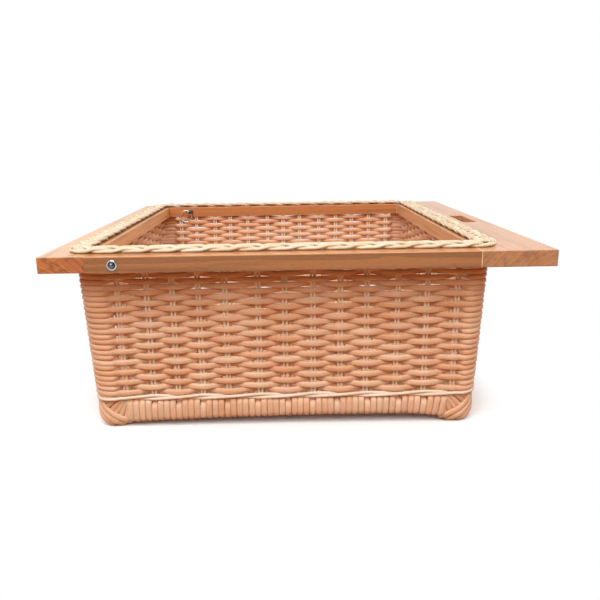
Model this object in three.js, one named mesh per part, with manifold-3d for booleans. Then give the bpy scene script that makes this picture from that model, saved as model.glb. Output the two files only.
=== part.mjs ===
// A pull-out kitchen basket: a beech frame that hangs on cabinet runners, a woven cane
// basket below it, and two spring stop pins that a pull ring draws back.
// Millimetres. X points to the front board, Z is up, and Z = 0 is the floor under the feet.
import * as THREE from 'three';
import { mergeVertices } from 'three/addons/utils/BufferGeometryUtils.js';
import Module from 'manifold-3d';

const wasm = await Module();
wasm.setup();

// Frame
const frameDepth = 500;
const frameWidth = 520;
const frameTop = 191;
const frameThickness = 16;
const frontBoardWidth = 73;
const rearBoardWidth = 46;
const rearBoardSetback = 2.5;
const railWidth = 41;
const edgeRound = 2.5;
const glueLine = 0.3;
const weaveRebate = 1;

// Finger slot in the front board
const slotLength = 75;
const slotWidth = 17.5;
const slotToFrontEdge = 13.5;
const slotCornerRadius = 3;

// Dowels that join the rails to the boards
const dowelDiameter = 8;
const dowelLength = 36;
const dowelFromOutside = 8;
const dowelSpacing = 13;

// Woven walls: the middle surface stands outside the opening, and leans in towards the floor
const wallThickness = 14;
const wallUnderBoards = 12;
const wallUnderRails = 6;
const wallLean = 6;
const cornerRadius = 13;

// Stakes: pairs of thin rods that pass through the weave and the frame
const stakeRod = 2.6;
const stakesAlongRail = 13;
const stakesAlongBoard = 15;
const cornerToStake = 28.5;
const stakeSeat = 6;
const stakeToPin = 9;

// Plaited border on top of the frame
const borderWidth = 22;
const borderHeight = 6;
const borderToRailEdge = 1.5;
const borderToBoardEdge = 4.5;
const borderCornerRadius = 18;

// Foot of the basket: twisted cord, wrapped band, wrapped corner feet, rods and base
const bandTop = 33;
const bandBottom = 8;
const twistHeight = 6;
const footToStake = 1.9;
const edgeRodDiameter = 9;
const baseThickness = 6;
const baseTop = 23.3;
const ribDiameter = 8;
const ribCount = 4;
const ribSpacing = 90;

// Stop pins: how far each stands from the frame's rear face, and the pieces along its axis
const leftPinFromRear = 73;
const rightPinFromRear = 82;
const pinHeadDiameter = 6.4;
const pinProtrusion = 5;
const pinCollarClearance = 0.4;
const pinCollarLength = 1.7;
const pinStemDiameter = 5;
const eyeFromRail = 8;
const eyeDiameter = 3;
const stemPastEye = 3;
const stemChamfer = 0.5;
const bushDiameter = 8.6;
const bushLength = 14;
const bushFlangeRim = 0.7;
const bushFlangeThickness = 1;
const seatThickness = 0.8;
const springWire = 0.8;
const springTurns = 7;
const springToStem = 0.4;
const innerBushLength = 7;
const ringWire = 1.6;
const ringDiameter = 18.4;
const ringLean = THREE.MathUtils.degToRad(52);

// Gap between pieces that touch or slide, and how far a cutting tool runs past the piece
const fitGap = 0.3;
const cutPast = 1;

// How finely round shapes are faceted
const cornerSteps = 3;
const edgeSteps = 2;
const turnedSides = 16;
const rodSides = 12;
const domeSteps = 5;
const coilStepsPerTurn = 8;
const ringSteps = 28;
const ringSides = 6;
const measuredPerTurn = 40;
const weldDistance = 1e-4;

// Sizes that follow from the ones above
const frameBottom = frameTop - frameThickness;
const frameMiddle = frameTop - frameThickness / 2;
const openingRear = -frameDepth / 2 + rearBoardWidth;
const openingFront = frameDepth / 2 - frontBoardWidth;
const openingHalfX = (openingFront - openingRear) / 2;
const openingHalfY = frameWidth / 2 - railWidth;
const basketCentreX = (openingFront + openingRear) / 2;
const wallHalfX = openingHalfX + wallUnderBoards;
const wallHalfY = openingHalfY + wallUnderRails;
const wallTop = frameBottom + weaveRebate - fitGap;
const wallBottom = bandTop + twistHeight + 2 * fitGap;
const wallSlope = wallLean / (wallTop - wallBottom);
const footHalfX = wallHalfX - wallLean;
const footHalfY = wallHalfY - wallLean;
const outerRadius = cornerRadius + wallThickness / 2;
const innerRadius = cornerRadius - wallThickness / 2;
const borderBottom = frameTop + fitGap;
const stakeFoot = bandTop - stakeSeat;
const footRun = cornerToStake - stakeRod - footToStake - wallLean - cornerRadius;
const leftPinX = -frameDepth / 2 + leftPinFromRear;
const rightPinX = -frameDepth / 2 + rightPinFromRear;
const pinBoreDiameter = bushDiameter + 2 * fitGap;
const pinCollarDiameter = pinBoreDiameter - 2 * pinCollarClearance;
const bushFlangeDiameter = bushDiameter + 2 * bushFlangeRim;

function finish(color, roughness, metalness) {
  return () => new THREE.MeshStandardMaterial({ color, roughness, metalness });
}

const beech = finish('#c68f5c', 0.45, 0);
const dowelWood = finish('#d9b184', 0.6, 0);
const cane = finish('#dda27a', 0.55, 0);
const paleCane = finish('#f0dcb8', 0.6, 0);
const chrome = finish('#d8dadd', 0.12, 1);
const springSteel = finish('#9a9da0', 0.3, 1);

// Turns a closed geometry into a solid that can be cut and joined.
function toSolid(geometry) {
  const bare = geometry.clone();
  bare.deleteAttribute('normal');
  bare.deleteAttribute('uv');
  const merged = mergeVertices(bare, weldDistance);
  const triangles = [];
  const index = merged.index.array;
  for (let i = 0; i < index.length; i += 3) {
    const [a, b, c] = [index[i], index[i + 1], index[i + 2]];
    if (a !== b && b !== c && c !== a) {
      triangles.push(a, b, c);
    }
  }
  const vertProperties = new Float32Array(merged.attributes.position.array);
  const triVerts = new Uint32Array(triangles);
  return new wasm.Manifold(new wasm.Mesh({ numProp: 3, vertProperties, triVerts }));
}

function toGeometry(body) {
  const mesh = body.getMesh();
  const geometry = new THREE.BufferGeometry();
  geometry.setAttribute('position', new THREE.BufferAttribute(mesh.vertProperties, 3));
  geometry.setIndex(new THREE.BufferAttribute(mesh.triVerts, 1));
  geometry.computeVertexNormals();
  return geometry;
}

function cut(geometry, tools) {
  return toGeometry(tools.reduce((body, tool) => body.subtract(toSolid(tool)), toSolid(geometry)));
}

function join(geometry, additions) {
  return toGeometry(additions.reduce((body, piece) => body.add(toSolid(piece)), toSolid(geometry)));
}

function piece(name, geometry, material) {
  const mesh = new THREE.Mesh(geometry, material());
  mesh.name = name;
  return mesh;
}

function roundedRectangle(halfX, halfY, radius, Outline = THREE.Shape) {
  const outline = new Outline();
  outline.moveTo(halfX - radius, -halfY);
  outline.absarc(halfX - radius, -halfY + radius, radius, -Math.PI / 2, 0, false);
  outline.absarc(halfX - radius, halfY - radius, radius, 0, Math.PI / 2, false);
  outline.absarc(-halfX + radius, halfY - radius, radius, Math.PI / 2, Math.PI, false);
  outline.absarc(-halfX + radius, -halfY + radius, radius, Math.PI, 1.5 * Math.PI, false);
  return outline;
}

// A slab with its outline in plan, from one height to another.
function slab(outline, low, high, curveSegments = cornerSteps) {
  const settings = { depth: high - low, bevelEnabled: false, curveSegments };
  return new THREE.ExtrudeGeometry(outline, settings).translate(0, 0, low);
}

// A planed bar with eased long edges, along X or along Y.
function plank(length, width, alongY) {
  const outline = roundedRectangle(width / 2, frameThickness / 2, edgeRound);
  const bar = slab(outline, -length / 2, length / 2, edgeSteps).rotateX(Math.PI / 2);
  return alongY ? bar : bar.rotateZ(Math.PI / 2);
}

function rodAlongX(diameter, length, sides) {
  return new THREE.CylinderGeometry(diameter / 2, diameter / 2, length, sides).rotateZ(Math.PI / 2);
}

function rodAlongY(diameter, length, sides) {
  return new THREE.CylinderGeometry(diameter / 2, diameter / 2, length, sides);
}

// The four sides of the basket. In a side's own frame the wall runs along X and faces -Y.
const sides = [
  {
    name: 'left', turn: 0, away: wallHalfY, along: wallHalfX, stakes: stakesAlongRail,
    pinPlace: leftPinX - basketCentreX,
  },
  { name: 'front', turn: Math.PI / 2, away: wallHalfX, along: wallHalfY, stakes: stakesAlongBoard },
  {
    name: 'right', turn: Math.PI, away: wallHalfY, along: wallHalfX, stakes: stakesAlongRail,
    pinPlace: basketCentreX - rightPinX,
  },
  { name: 'rear', turn: -Math.PI / 2, away: wallHalfX, along: wallHalfY, stakes: stakesAlongBoard },
];

function sideGroup(side) {
  const group = new THREE.Group();
  group.position.set(basketCentreX, 0, 0);
  group.rotation.z = side.turn;
  group.updateMatrix();
  return group;
}

// Leans a piece of wall inwards below the wall's top, in one or both plan directions.
function lean(geometry, alongX, alongY) {
  const shear = new THREE.Matrix4().makeShear(0, 0, 0, 0, -wallSlope * alongX, -wallSlope * alongY);
  return geometry.translate(0, 0, -wallTop).applyMatrix4(shear).translate(0, 0, wallTop);
}

// Where the stake pairs of one side stand along it. A pair that would meet a stop pin steps aside.
function stakePlaces(side) {
  const pitch = 2 * (side.along - cornerToStake) / (side.stakes - 1);
  const places = Array.from({ length: side.stakes }, (_, i) => (i - (side.stakes - 1) / 2) * pitch);
  return places.map((place) => {
    const toPin = place - side.pinPlace;
    return Math.abs(toPin) < stakeToPin ? side.pinPlace + Math.sign(toPin) * stakeToPin : place;
  });
}

// The stake pairs of one side as closed rods, from the foot to a height, grown by a gap.
function stakeRods(side, low, high, gap) {
  const halfWidth = stakeRod + gap;
  const halfDepth = stakeRod / 2 + gap;
  const shoulder = halfWidth - halfDepth / 2;
  const outline = new THREE.Shape([
    new THREE.Vector2(halfWidth, 0),
    new THREE.Vector2(shoulder, halfDepth),
    new THREE.Vector2(-shoulder, halfDepth),
    new THREE.Vector2(-halfWidth, 0),
    new THREE.Vector2(-shoulder, -halfDepth),
    new THREE.Vector2(shoulder, -halfDepth),
  ]);
  return stakePlaces(side).map((x) => lean(slab(outline, low, high).translate(x, -side.away, 0), 0, 1));
}

// The holes that the stakes of one side need, in the part's own frame.
function stakeHoles(side) {
  const matrix = sideGroup(side).matrix;
  const rods = stakeRods(side, stakeFoot - fitGap, frameTop + cutPast, fitGap);
  return rods.map((rod) => rod.applyMatrix4(matrix));
}

const holesOf = Object.fromEntries(sides.map((side) => [side.name, stakeHoles(side)]));

// The shallow rebate under the frame that takes the top of the woven wall.
function rebateCutter() {
  const halfX = wallHalfX + wallThickness / 2 + fitGap;
  const halfY = wallHalfY + wallThickness / 2 + fitGap;
  const outline = roundedRectangle(halfX, halfY, outerRadius + fitGap);
  return slab(outline, frameBottom - weaveRebate, frameBottom + weaveRebate).translate(basketCentreX, 0, 0);
}

const joints = [
  { name: 'rear', x: openingRear },
  { name: 'front', x: openingFront },
];
const hands = [
  { name: 'left', sign: -1, pinX: leftPinX },
  { name: 'right', sign: 1, pinX: rightPinX },
];

function dowelPlaces() {
  const places = [];
  for (const joint of joints) {
    for (const hand of hands) {
      for (const [label, row] of [['outer', 0], ['inner', 1]]) {
        const y = hand.sign * (frameWidth / 2 - dowelFromOutside - row * dowelSpacing);
        places.push({ name: `dowel_${joint.name}_${hand.name}_${label}`, x: joint.x, y });
      }
    }
  }
  return places;
}

function dowelHoles() {
  const size = dowelDiameter + 2 * fitGap;
  const length = dowelLength + 2 * fitGap;
  return dowelPlaces().map(({ x, y }) => rodAlongX(size, length, rodSides).translate(x, y, frameMiddle));
}

function makeDowels(parent) {
  for (const { name, x, y } of dowelPlaces()) {
    const dowel = piece(name, rodAlongX(dowelDiameter, dowelLength, rodSides), dowelWood);
    dowel.position.set(x, y, frameMiddle);
    parent.add(dowel);
  }
}

function makeFrontBoard(parent) {
  const board = plank(frameWidth, frontBoardWidth, true)
    .translate(frameDepth / 2 - frontBoardWidth / 2, 0, frameMiddle);
  const outline = roundedRectangle(slotWidth / 2, slotLength / 2, slotCornerRadius);
  const slotX = frameDepth / 2 - slotToFrontEdge - slotWidth / 2;
  const slot = slab(outline, frameBottom - cutPast, frameTop + cutPast).translate(slotX, 0, 0);
  const tools = [slot, rebateCutter(), ...dowelHoles(), ...holesOf.front];
  parent.add(piece('front_board', cut(board, tools), beech));
}

function makeRearBoard(parent) {
  const board = plank(frameWidth - 2 * rearBoardSetback, rearBoardWidth, true)
    .translate(-frameDepth / 2 + rearBoardWidth / 2, 0, frameMiddle);
  const tools = [rebateCutter(), ...dowelHoles(), ...holesOf.rear];
  parent.add(piece('rear_board', cut(board, tools), beech));
}

function makeRail(parent, hand) {
  const rail = plank(2 * (openingHalfX - glueLine), railWidth, false)
    .translate(basketCentreX, hand.sign * (frameWidth / 2 - railWidth / 2), frameMiddle);
  const pinHole = rodAlongY(pinBoreDiameter, railWidth + 2 * cutPast, turnedSides)
    .translate(hand.pinX, hand.sign * (frameWidth / 2 - railWidth / 2), frameMiddle);
  const tools = [pinHole, rebateCutter(), ...dowelHoles(), ...holesOf[hand.name]];
  parent.add(piece(`${hand.name}_rail`, cut(rail, tools), beech));
}

// The woven wall of one side with the stakes that it is woven on, from the foot to the border.
function makeWall(parent, side) {
  const top = side.along - cornerRadius - fitGap;
  const outline = new THREE.Shape([
    new THREE.Vector2(-top + wallLean, wallBottom),
    new THREE.Vector2(top - wallLean, wallBottom),
    new THREE.Vector2(top, wallTop),
    new THREE.Vector2(-top, wallTop),
  ]);
  const panel = slab(outline, -wallThickness / 2, wallThickness / 2)
    .rotateX(Math.PI / 2)
    .translate(0, -side.away, 0);
  const stakes = stakeRods(side, stakeFoot, frameTop, 0);
  parent.add(piece(`woven_wall_${side.name}`, join(lean(panel, 0, 1), stakes), cane));
}

// A quarter ring in plan with straight runs at both ends, in the corner towards -X and -Y.
function cornerOutline(run) {
  const outline = new THREE.Shape();
  outline.moveTo(-outerRadius, run);
  outline.lineTo(-outerRadius, 0);
  outline.absarc(0, 0, outerRadius, Math.PI, 1.5 * Math.PI, false);
  outline.lineTo(run, -outerRadius);
  outline.lineTo(run, -innerRadius);
  outline.absarc(0, 0, innerRadius, 1.5 * Math.PI, Math.PI, true);
  outline.lineTo(-innerRadius, run);
  return outline;
}

// The four corners, each turned from the first, with the way that each one faces.
const corners = [
  { name: 'rear_left', turn: 0, x: -1, y: -1 },
  { name: 'front_left', turn: Math.PI / 2, x: 1, y: -1 },
  { name: 'front_right', turn: Math.PI, x: 1, y: 1 },
  { name: 'rear_right', turn: -Math.PI / 2, x: -1, y: 1 },
];

function placeCorner(mesh, corner, halfX, halfY) {
  const x = basketCentreX + corner.x * (halfX - cornerRadius);
  mesh.position.set(x, corner.y * (halfY - cornerRadius), 0);
  mesh.rotation.z = corner.turn;
  return mesh;
}

function makeCorner(parent, corner) {
  const weave = lean(slab(cornerOutline(0), wallBottom, wallTop), 1, 1);
  parent.add(placeCorner(piece(`woven_corner_${corner.name}`, weave, cane), corner, wallHalfX, wallHalfY));
}

function makeFoot(parent, corner) {
  const foot = slab(cornerOutline(footRun), 0, bandTop);
  parent.add(placeCorner(piece(`corner_foot_${corner.name}`, foot, cane), corner, footHalfX, footHalfY));
}

// The border of one side, on top of the frame and over the stakes.
function makeBorder(parent, side) {
  const onRail = side.name === 'left' || side.name === 'right';
  const innerX = openingHalfX + borderToBoardEdge;
  const innerY = openingHalfY + borderToRailEdge;
  const inner = onRail ? innerY : innerX;
  const half = onRail ? innerX + borderWidth : innerY - fitGap;
  const round = onRail ? borderCornerRadius : 0;
  const outline = new THREE.Shape();
  outline.moveTo(-half, -inner);
  outline.lineTo(-half, -inner - borderWidth + round);
  outline.absarc(-half + round, -inner - borderWidth + round, round, Math.PI, 1.5 * Math.PI, false);
  outline.absarc(half - round, -inner - borderWidth + round, round, 1.5 * Math.PI, 2 * Math.PI, false);
  outline.lineTo(half, -inner);
  const bar = slab(outline, borderBottom, borderBottom + borderHeight);
  parent.add(piece(`plaited_border_${side.name}`, bar, paleCane));
}

function bandHalfLength(side) {
  return side.along - wallLean - cornerRadius - footRun - fitGap;
}

const edgeRodHeight = (bandTop - stakeSeat + bandBottom) / 2;

// The wrapped band along one side of the base, round its edge rod.
function makeBand(parent, side) {
  const half = bandHalfLength(side);
  const away = side.away - wallLean;
  const outline = roundedRectangle(half, wallThickness / 2, edgeRound);
  const band = slab(outline, bandBottom, bandTop).translate(0, -away, 0);
  const boreDiameter = edgeRodDiameter + 2 * fitGap;
  const bore = rodAlongX(boreDiameter, 2 * (half + cutPast), rodSides).translate(0, -away, edgeRodHeight);
  const holes = stakeRods(side, stakeFoot - fitGap, bandTop + cutPast, fitGap);
  parent.add(piece(`base_band_${side.name}`, cut(band, [bore, ...holes]), cane));
  const rod = piece(`edge_rod_${side.name}`, rodAlongX(edgeRodDiameter, 2 * half, rodSides), dowelWood);
  rod.position.set(0, -away, edgeRodHeight);
  parent.add(rod);
}

// The twisted pair of pale strands that runs round the basket above the band.
function makeTwist(parent) {
  const half = wallThickness / 2;
  const outline = roundedRectangle(footHalfX + half, footHalfY + half, outerRadius);
  outline.holes.push(roundedRectangle(footHalfX - half, footHalfY - half, innerRadius, THREE.Path));
  const ring = slab(outline, bandTop + fitGap, bandTop + fitGap + twistHeight).translate(basketCentreX, 0, 0);
  const holes = sides.flatMap((side) => holesOf[side.name]);
  parent.add(piece('foot_twist', cut(ring, holes), paleCane));
}

function makeBase(parent) {
  const inset = wallThickness / 2 + fitGap;
  const outline = roundedRectangle(footHalfX - inset, footHalfY - inset, innerRadius);
  const panel = piece('base_panel', slab(outline, baseTop - baseThickness, baseTop), cane);
  panel.position.x = basketCentreX;
  parent.add(panel);
  const ribHeight = baseTop - baseThickness - fitGap - ribDiameter / 2;
  const ribLength = 2 * (footHalfX - inset);
  for (let i = 0; i < ribCount; i++) {
    const rib = piece(`base_rib_${i + 1}`, rodAlongX(ribDiameter, ribLength, rodSides), dowelWood);
    rib.position.set(basketCentreX, (i - (ribCount - 1) / 2) * ribSpacing, ribHeight);
    parent.add(rib);
  }
}

function lathe(points) {
  const profile = points.map(([radius, height]) => new THREE.Vector2(radius, height));
  return new THREE.LatheGeometry(profile, turnedSides);
}

// A sleeve with a flange on one end, along Y from the flange face.
function flangedSleeve(bore, body, flange, sleeveStart, sleeveEnd, flangeStart, flangeEnd) {
  const low = Math.min(sleeveStart, flangeStart);
  const high = Math.max(sleeveEnd, flangeEnd);
  const flangeFirst = flangeStart < sleeveStart;
  const outside = flangeFirst
    ? [[flange, low], [flange, flangeEnd], [body, flangeEnd], [body, high]]
    : [[body, low], [body, flangeStart], [flange, flangeStart], [flange, high]];
  return lathe([[bore, low], ...outside, [bore, high], [bore, low]]);
}

// Where the pieces of a stop pin stand along its axis, from the rail's outer face inwards.
const collarStart = bushLength + fitGap;
const collarEnd = collarStart + pinCollarLength;
const seatStart = collarEnd + fitGap;
const seatEnd = seatStart + seatThickness;
const innerBushStart = railWidth - innerBushLength;
const eyePlace = railWidth + eyeFromRail;

function pinGeometry() {
  const head = pinHeadDiameter / 2;
  const dome = [];
  for (let i = 0; i <= domeSteps; i++) {
    const angle = (i / domeSteps) * Math.PI / 2;
    dome.push([head * Math.sin(angle), -pinProtrusion + head * (1 - Math.cos(angle))]);
  }
  const collar = pinCollarDiameter / 2;
  const stem = pinStemDiameter / 2;
  const end = eyePlace + stemPastEye;
  const shank = [[head, collarStart], [collar, collarStart], [collar, collarEnd], [stem, collarEnd]];
  const tip = [[stem, end - stemChamfer], [stem - stemChamfer, end], [0, end]];
  const eye = rodAlongX(eyeDiameter, pinStemDiameter + 2 * cutPast, rodSides).translate(0, eyePlace, 0);
  return cut(lathe([...dome, ...shank, ...tip]), [eye]);
}

// A coil round the pin's stem, between the spring seat and the inner bush.
class CoilCurve extends THREE.Curve {
  constructor(radius, start, end, turns) {
    super();
    Object.assign(this, { radius, start, end, turns });
  }

  getPoint(t, target = new THREE.Vector3()) {
    const angle = 2 * Math.PI * this.turns * t;
    const along = this.start + (this.end - this.start) * t;
    return target.set(this.radius * Math.cos(angle), along, this.radius * Math.sin(angle));
  }
}

const coilRadius = pinStemDiameter / 2 + springToStem + springWire / 2;
const coil = new CoilCurve(
  coilRadius,
  seatEnd + fitGap + springWire / 2,
  innerBushStart - fitGap - springWire / 2,
  springTurns,
);

// The least distance between the surfaces of neighbouring turns, measured on points.
function leastCoilGap() {
  const points = coil.getPoints(measuredPerTurn * springTurns);
  let least = Infinity;
  for (let i = 0; i < points.length; i++) {
    for (let j = i + measuredPerTurn / 2; j < points.length; j++) {
      least = Math.min(least, points[i].distanceTo(points[j]));
    }
  }
  return least - springWire;
}

function springGeometry() {
  const wire = new THREE.Shape();
  wire.absarc(0, 0, springWire / 2, 0, 2 * Math.PI, false);
  const settings = {
    steps: coilStepsPerTurn * springTurns,
    extrudePath: coil,
    bevelEnabled: false,
    curveSegments: cornerSteps,
  };
  return new THREE.ExtrudeGeometry(wire, settings);
}

function ringGeometry() {
  return new THREE.TorusGeometry(ringDiameter / 2, ringWire / 2, ringSides, ringSteps).rotateX(Math.PI / 2);
}

// One stop pin with its bushes, spring and pull ring, along Y from the rail's outer face.
function makeStopPin(parent, hand) {
  const group = new THREE.Group();
  group.position.set(hand.pinX, hand.sign * frameWidth / 2, frameMiddle);
  group.rotation.z = hand.sign > 0 ? Math.PI : 0;
  const bore = pinHeadDiameter / 2 + fitGap;
  const stemBore = pinStemDiameter / 2 + fitGap;
  const body = bushDiameter / 2;
  const flange = bushFlangeDiameter / 2;
  const outer = flangedSleeve(bore, body, flange, 0, bushLength, -bushFlangeThickness - fitGap, -fitGap);
  const inner = flangedSleeve(stemBore, body, flange, innerBushStart, railWidth,
    railWidth + fitGap, railWidth + fitGap + bushFlangeThickness);
  const seatRim = pinCollarDiameter / 2;
  const seat = lathe([[stemBore, seatStart], [seatRim, seatStart], [seatRim, seatEnd],
    [stemBore, seatEnd], [stemBore, seatStart]]);
  group.add(piece(`${hand.name}_outer_bush`, outer, chrome));
  group.add(piece(`${hand.name}_inner_bush`, inner, chrome));
  group.add(piece(`${hand.name}_spring_seat`, seat, springSteel));
  group.add(piece(`${hand.name}_spring`, springGeometry(), springSteel));
  const turning = new THREE.Group();
  turning.rotation.y = -hand.sign * ringLean;
  turning.add(piece(`${hand.name}_stop_pin`, pinGeometry(), chrome));
  const ring = piece(`${hand.name}_pull_ring`, ringGeometry(), chrome);
  ring.position.set(0, eyePlace, -ringDiameter / 2);
  turning.add(ring);
  group.add(turning);
  parent.add(group);
}

function makeBasket() {
  const basket = new THREE.Group();
  makeFrontBoard(basket);
  makeRearBoard(basket);
  makeDowels(basket);
  for (const hand of hands) {
    makeRail(basket, hand);
    makeStopPin(basket, hand);
  }
  for (const side of sides) {
    const group = sideGroup(side);
    makeWall(group, side);
    makeBorder(group, side);
    makeBand(group, side);
    basket.add(group);
  }
  for (const corner of corners) {
    makeCorner(basket, corner);
    makeFoot(basket, corner);
  }
  makeTwist(basket);
  makeBase(basket);
  return basket;
}

console.log(`least gap between spring turns: ${leastCoilGap().toFixed(2)} mm`);

export default makeBasket();
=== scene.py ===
"""A woven cane basket that hangs in a beech frame and slides out on cabinet runners."""
import math

import bmesh
import bpy
import numpy as np
from mathutils import Matrix, Vector


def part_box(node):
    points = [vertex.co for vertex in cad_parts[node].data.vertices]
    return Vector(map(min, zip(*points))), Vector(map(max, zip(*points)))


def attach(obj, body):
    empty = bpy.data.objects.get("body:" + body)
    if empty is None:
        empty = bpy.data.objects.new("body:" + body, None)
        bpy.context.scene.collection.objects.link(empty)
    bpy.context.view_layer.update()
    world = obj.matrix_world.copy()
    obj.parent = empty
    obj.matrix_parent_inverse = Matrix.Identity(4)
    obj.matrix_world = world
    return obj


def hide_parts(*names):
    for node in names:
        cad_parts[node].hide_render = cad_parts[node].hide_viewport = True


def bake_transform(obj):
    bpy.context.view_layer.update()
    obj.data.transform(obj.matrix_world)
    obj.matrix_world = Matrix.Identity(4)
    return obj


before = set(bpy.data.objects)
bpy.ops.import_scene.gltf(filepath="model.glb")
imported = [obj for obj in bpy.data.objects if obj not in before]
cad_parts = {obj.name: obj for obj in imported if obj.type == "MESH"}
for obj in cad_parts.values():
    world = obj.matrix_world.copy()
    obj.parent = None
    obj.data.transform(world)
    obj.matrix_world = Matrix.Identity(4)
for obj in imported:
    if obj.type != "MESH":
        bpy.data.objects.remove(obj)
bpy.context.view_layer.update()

bl_info = {
    "name": "Woven Pull-out Basket",
    "version": (1, 0, 0),
    "blender": (4, 5, 0),
    "location": "View3D > Sidebar > Basket",
    "description": "Makes a cane basket in a beech frame, piece by piece",
    "category": "Add Mesh",
}

MM = 0.001
TINY = 1e-7
SEED = 11
BODY = "basket"
SIDES = ("left", "front", "right", "rear")
CORNERS = ("rear_left", "front_left", "front_right", "rear_right")
HANDS = ("left", "right")
RUN_MAP = "cane_run"
# Each cane's tone sets its colour; for the woven rows it also holds painted shade towards the top
TONE = "tone"


def box_round(*nodes):
    """The lowest and highest corners of the box round some CAD nodes."""
    lows, highs = zip(*(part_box(node) for node in nodes))
    return np.min(lows, axis=0), np.max(highs, axis=0)


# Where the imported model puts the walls, the foot, the base and the frame
WALL_LOW, WALL_HIGH = box_round(*(f"woven_corner_{name}" for name in CORNERS))
FOOT_LOW, FOOT_HIGH = box_round("foot_twist")
BASE_LOW, BASE_HIGH = box_round("base_panel")
BAND_LOW, BAND_HIGH = box_round(*(f"base_band_{name}" for name in SIDES))
BORDER_LOW, BORDER_HIGH = box_round(*(f"plaited_border_{name}" for name in SIDES))
FRONT_LOW, FRONT_HIGH = box_round("front_board")
REAR_LOW, REAR_HIGH = box_round("rear_board")
_, RAIL_HIGH = box_round("left_rail")
FIT_GAP = 0.3 * MM
WALL = FOOT_HIGH[0] - BASE_HIGH[0] - FIT_GAP
CENTRE_X = (WALL_LOW[0] + WALL_HIGH[0]) / 2
TOP_HALF = (WALL_HIGH[:2] - WALL_LOW[:2] - WALL) / 2
FOOT_HALF = (FOOT_HIGH[:2] - FOOT_LOW[:2] - WALL) / 2
WALL_BOTTOM, WALL_TOP = WALL_LOW[2], WALL_HIGH[2]
CORNER_RADIUS = 13 * MM
# The rows and the twist lie a little lower than the blocks that they replace
WEAVE_LOW, WEAVE_HIGH = WALL_BOTTOM - 4.2 * MM, WALL_TOP - 1.5 * MM
TWIST_DROP = 3.4 * MM
CORNER_TO_STAKE = 28.5 * MM
STAKES = (13, 15, 13, 15)
# How far the stakes of each side stand out from the middle of the wall, so that they show between the rows
STAKE_SHIFT = 1.1 * MM, 0.6 * MM, -2.0 * MM, 0.6 * MM
# How far the stake pairs of the left side stand from an even spacing, in millimetres, rear to front
LEFT_STAKE_SHIFTS = (4.4, 5.2, 2.3, -0.3, -1.8, 2.7, 0.9, 0.9, 0.3, -1.7, 0.9, 2.1, 3.8)
# How much of the band's end each corner foot covers
FAN_OVER_BAND = 9.5 * MM
PIN_BORE, RING_EYE = 9.2 * MM, 3 * MM


def linear(colour):
    """A hex colour in sRGB as linear red, green and blue."""
    parts = [int(colour[i:i + 2], 16) / 255 for i in (1, 3, 5)]
    return tuple(c / 12.92 if c <= 0.04045 else ((c + 0.055) / 1.055) ** 2.4 for c in parts)


def length_property(name, description, default):
    return bpy.props.FloatProperty(
        name=name, description=description, default=default, min=0.0, unit="LENGTH", subtype="DISTANCE")


def colour_property(name, description, default):
    return bpy.props.FloatVectorProperty(
        name=name, description=description, default=linear(default), size=3, min=0, max=1, subtype="COLOR")


class BasketSizes(bpy.types.PropertyGroup):
    """Sizes of the canes, rods and edges."""

    weaver_height: length_property("Weaver height", "Height of one woven cane on the outside", 6.2 * MM)
    weaver_depth: length_property("Weaver depth", "Thickness of one woven cane through the wall", 4.3 * MM)
    weaver_rows: bpy.props.IntProperty(
        name="Weaver rows", description="Rows of cane between the foot and the frame", default=24, min=2)
    stake_rod: length_property("Stake rod", "Diameter of one rod of a stake pair", 2.65 * MM)
    twist_strand: length_property("Twist strand", "Diameter of each strand above the band", 3.5 * MM)
    wrap: length_property("Wrap", "Width of the cane that is wrapped round the base", 6.5 * MM)
    wrap_thickness: length_property("Wrap thickness", "Thickness of the cane round the base", 5.0 * MM)
    wrap_pitch: length_property("Wrap pitch", "Distance between wraps along the base", 6.55 * MM)
    plait_rod: length_property("Plait rod", "Width of one rod in the plaited border", 1.9 * MM)
    plait_unit: length_property("Plait unit", "Length of one chevron of the border", 29 * MM)
    board_edge: length_property("Board edge", "Radius of the frame's eased edges", 1.0 * MM)


class BasketColours(bpy.types.PropertyGroup):
    """Colours of the cane, the wood, the metal and the studio."""

    cane: colour_property("Cane", "Peach cane in the middle of its range", "#E4AE86")
    cane_dark: colour_property("Dark cane", "The brownest canes", "#D79B6E")
    cane_light: colour_property("Light cane", "The palest canes", "#EFCAAA")
    pale_cane: colour_property("Pale cane", "Cream rods of the border and the base", "#E8DAC4")
    pale_cane_dark: colour_property("Dark pale cane", "The yellowest cream rods", "#CDB48F")
    rod_cane: colour_property("Rod cane", "Tan rods of the stakes and the twist", "#F6E4D2")
    rod_cane_dark: colour_property("Dark rod cane", "The brownest tan rods", "#E6CAAF")
    # Each piece of beech has its own colour, as boards differ, and these also stand in for light: the left
    # rail is darker as painted shade on its outer face, the rear board and right rail lighter as painted
    # light on their inner faces
    front_board: colour_property("Front board", "Early wood of the front board", "#D89C6B")
    rear_board: colour_property("Rear board", "Early wood of the rear board", "#EEB27C")
    left_rail: colour_property("Left rail", "Early wood of the left rail", "#AC7344")
    right_rail: colour_property("Right rail", "Early wood of the right rail", "#C57F4D")
    dowel: colour_property("Dowel", "Bare turned wood", "#D9B184")
    chrome: colour_property("Chrome", "Bright plate of the bushes", "#C4C7CB")
    spring_steel: colour_property("Spring steel", "Drawn wire", "#9A9DA0")
    ring: colour_property("Ring", "Pull ring wire", "#F0F1F3")
    # Darker than the chrome as a painted dark reflection on the pins
    nickel: colour_property("Nickel", "Dark plate of the pins", "#6E7074")
    glue: colour_property("Glue", "Dried glue in the front joints", "#F0D9AE")
    floor: colour_property("Floor", "The studio floor", "#FBFBFB")
    floor_bounce: colour_property("Floor bounce", "What the floor gives back to the basket", "#9E6935")
    low_light: colour_property("Low light", "Light from near the ground", "#654221")


def sizes():
    return bpy.context.scene.basket_sizes


def colours():
    return bpy.context.scene.basket_colours


# Layout of the basket in plan


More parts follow.
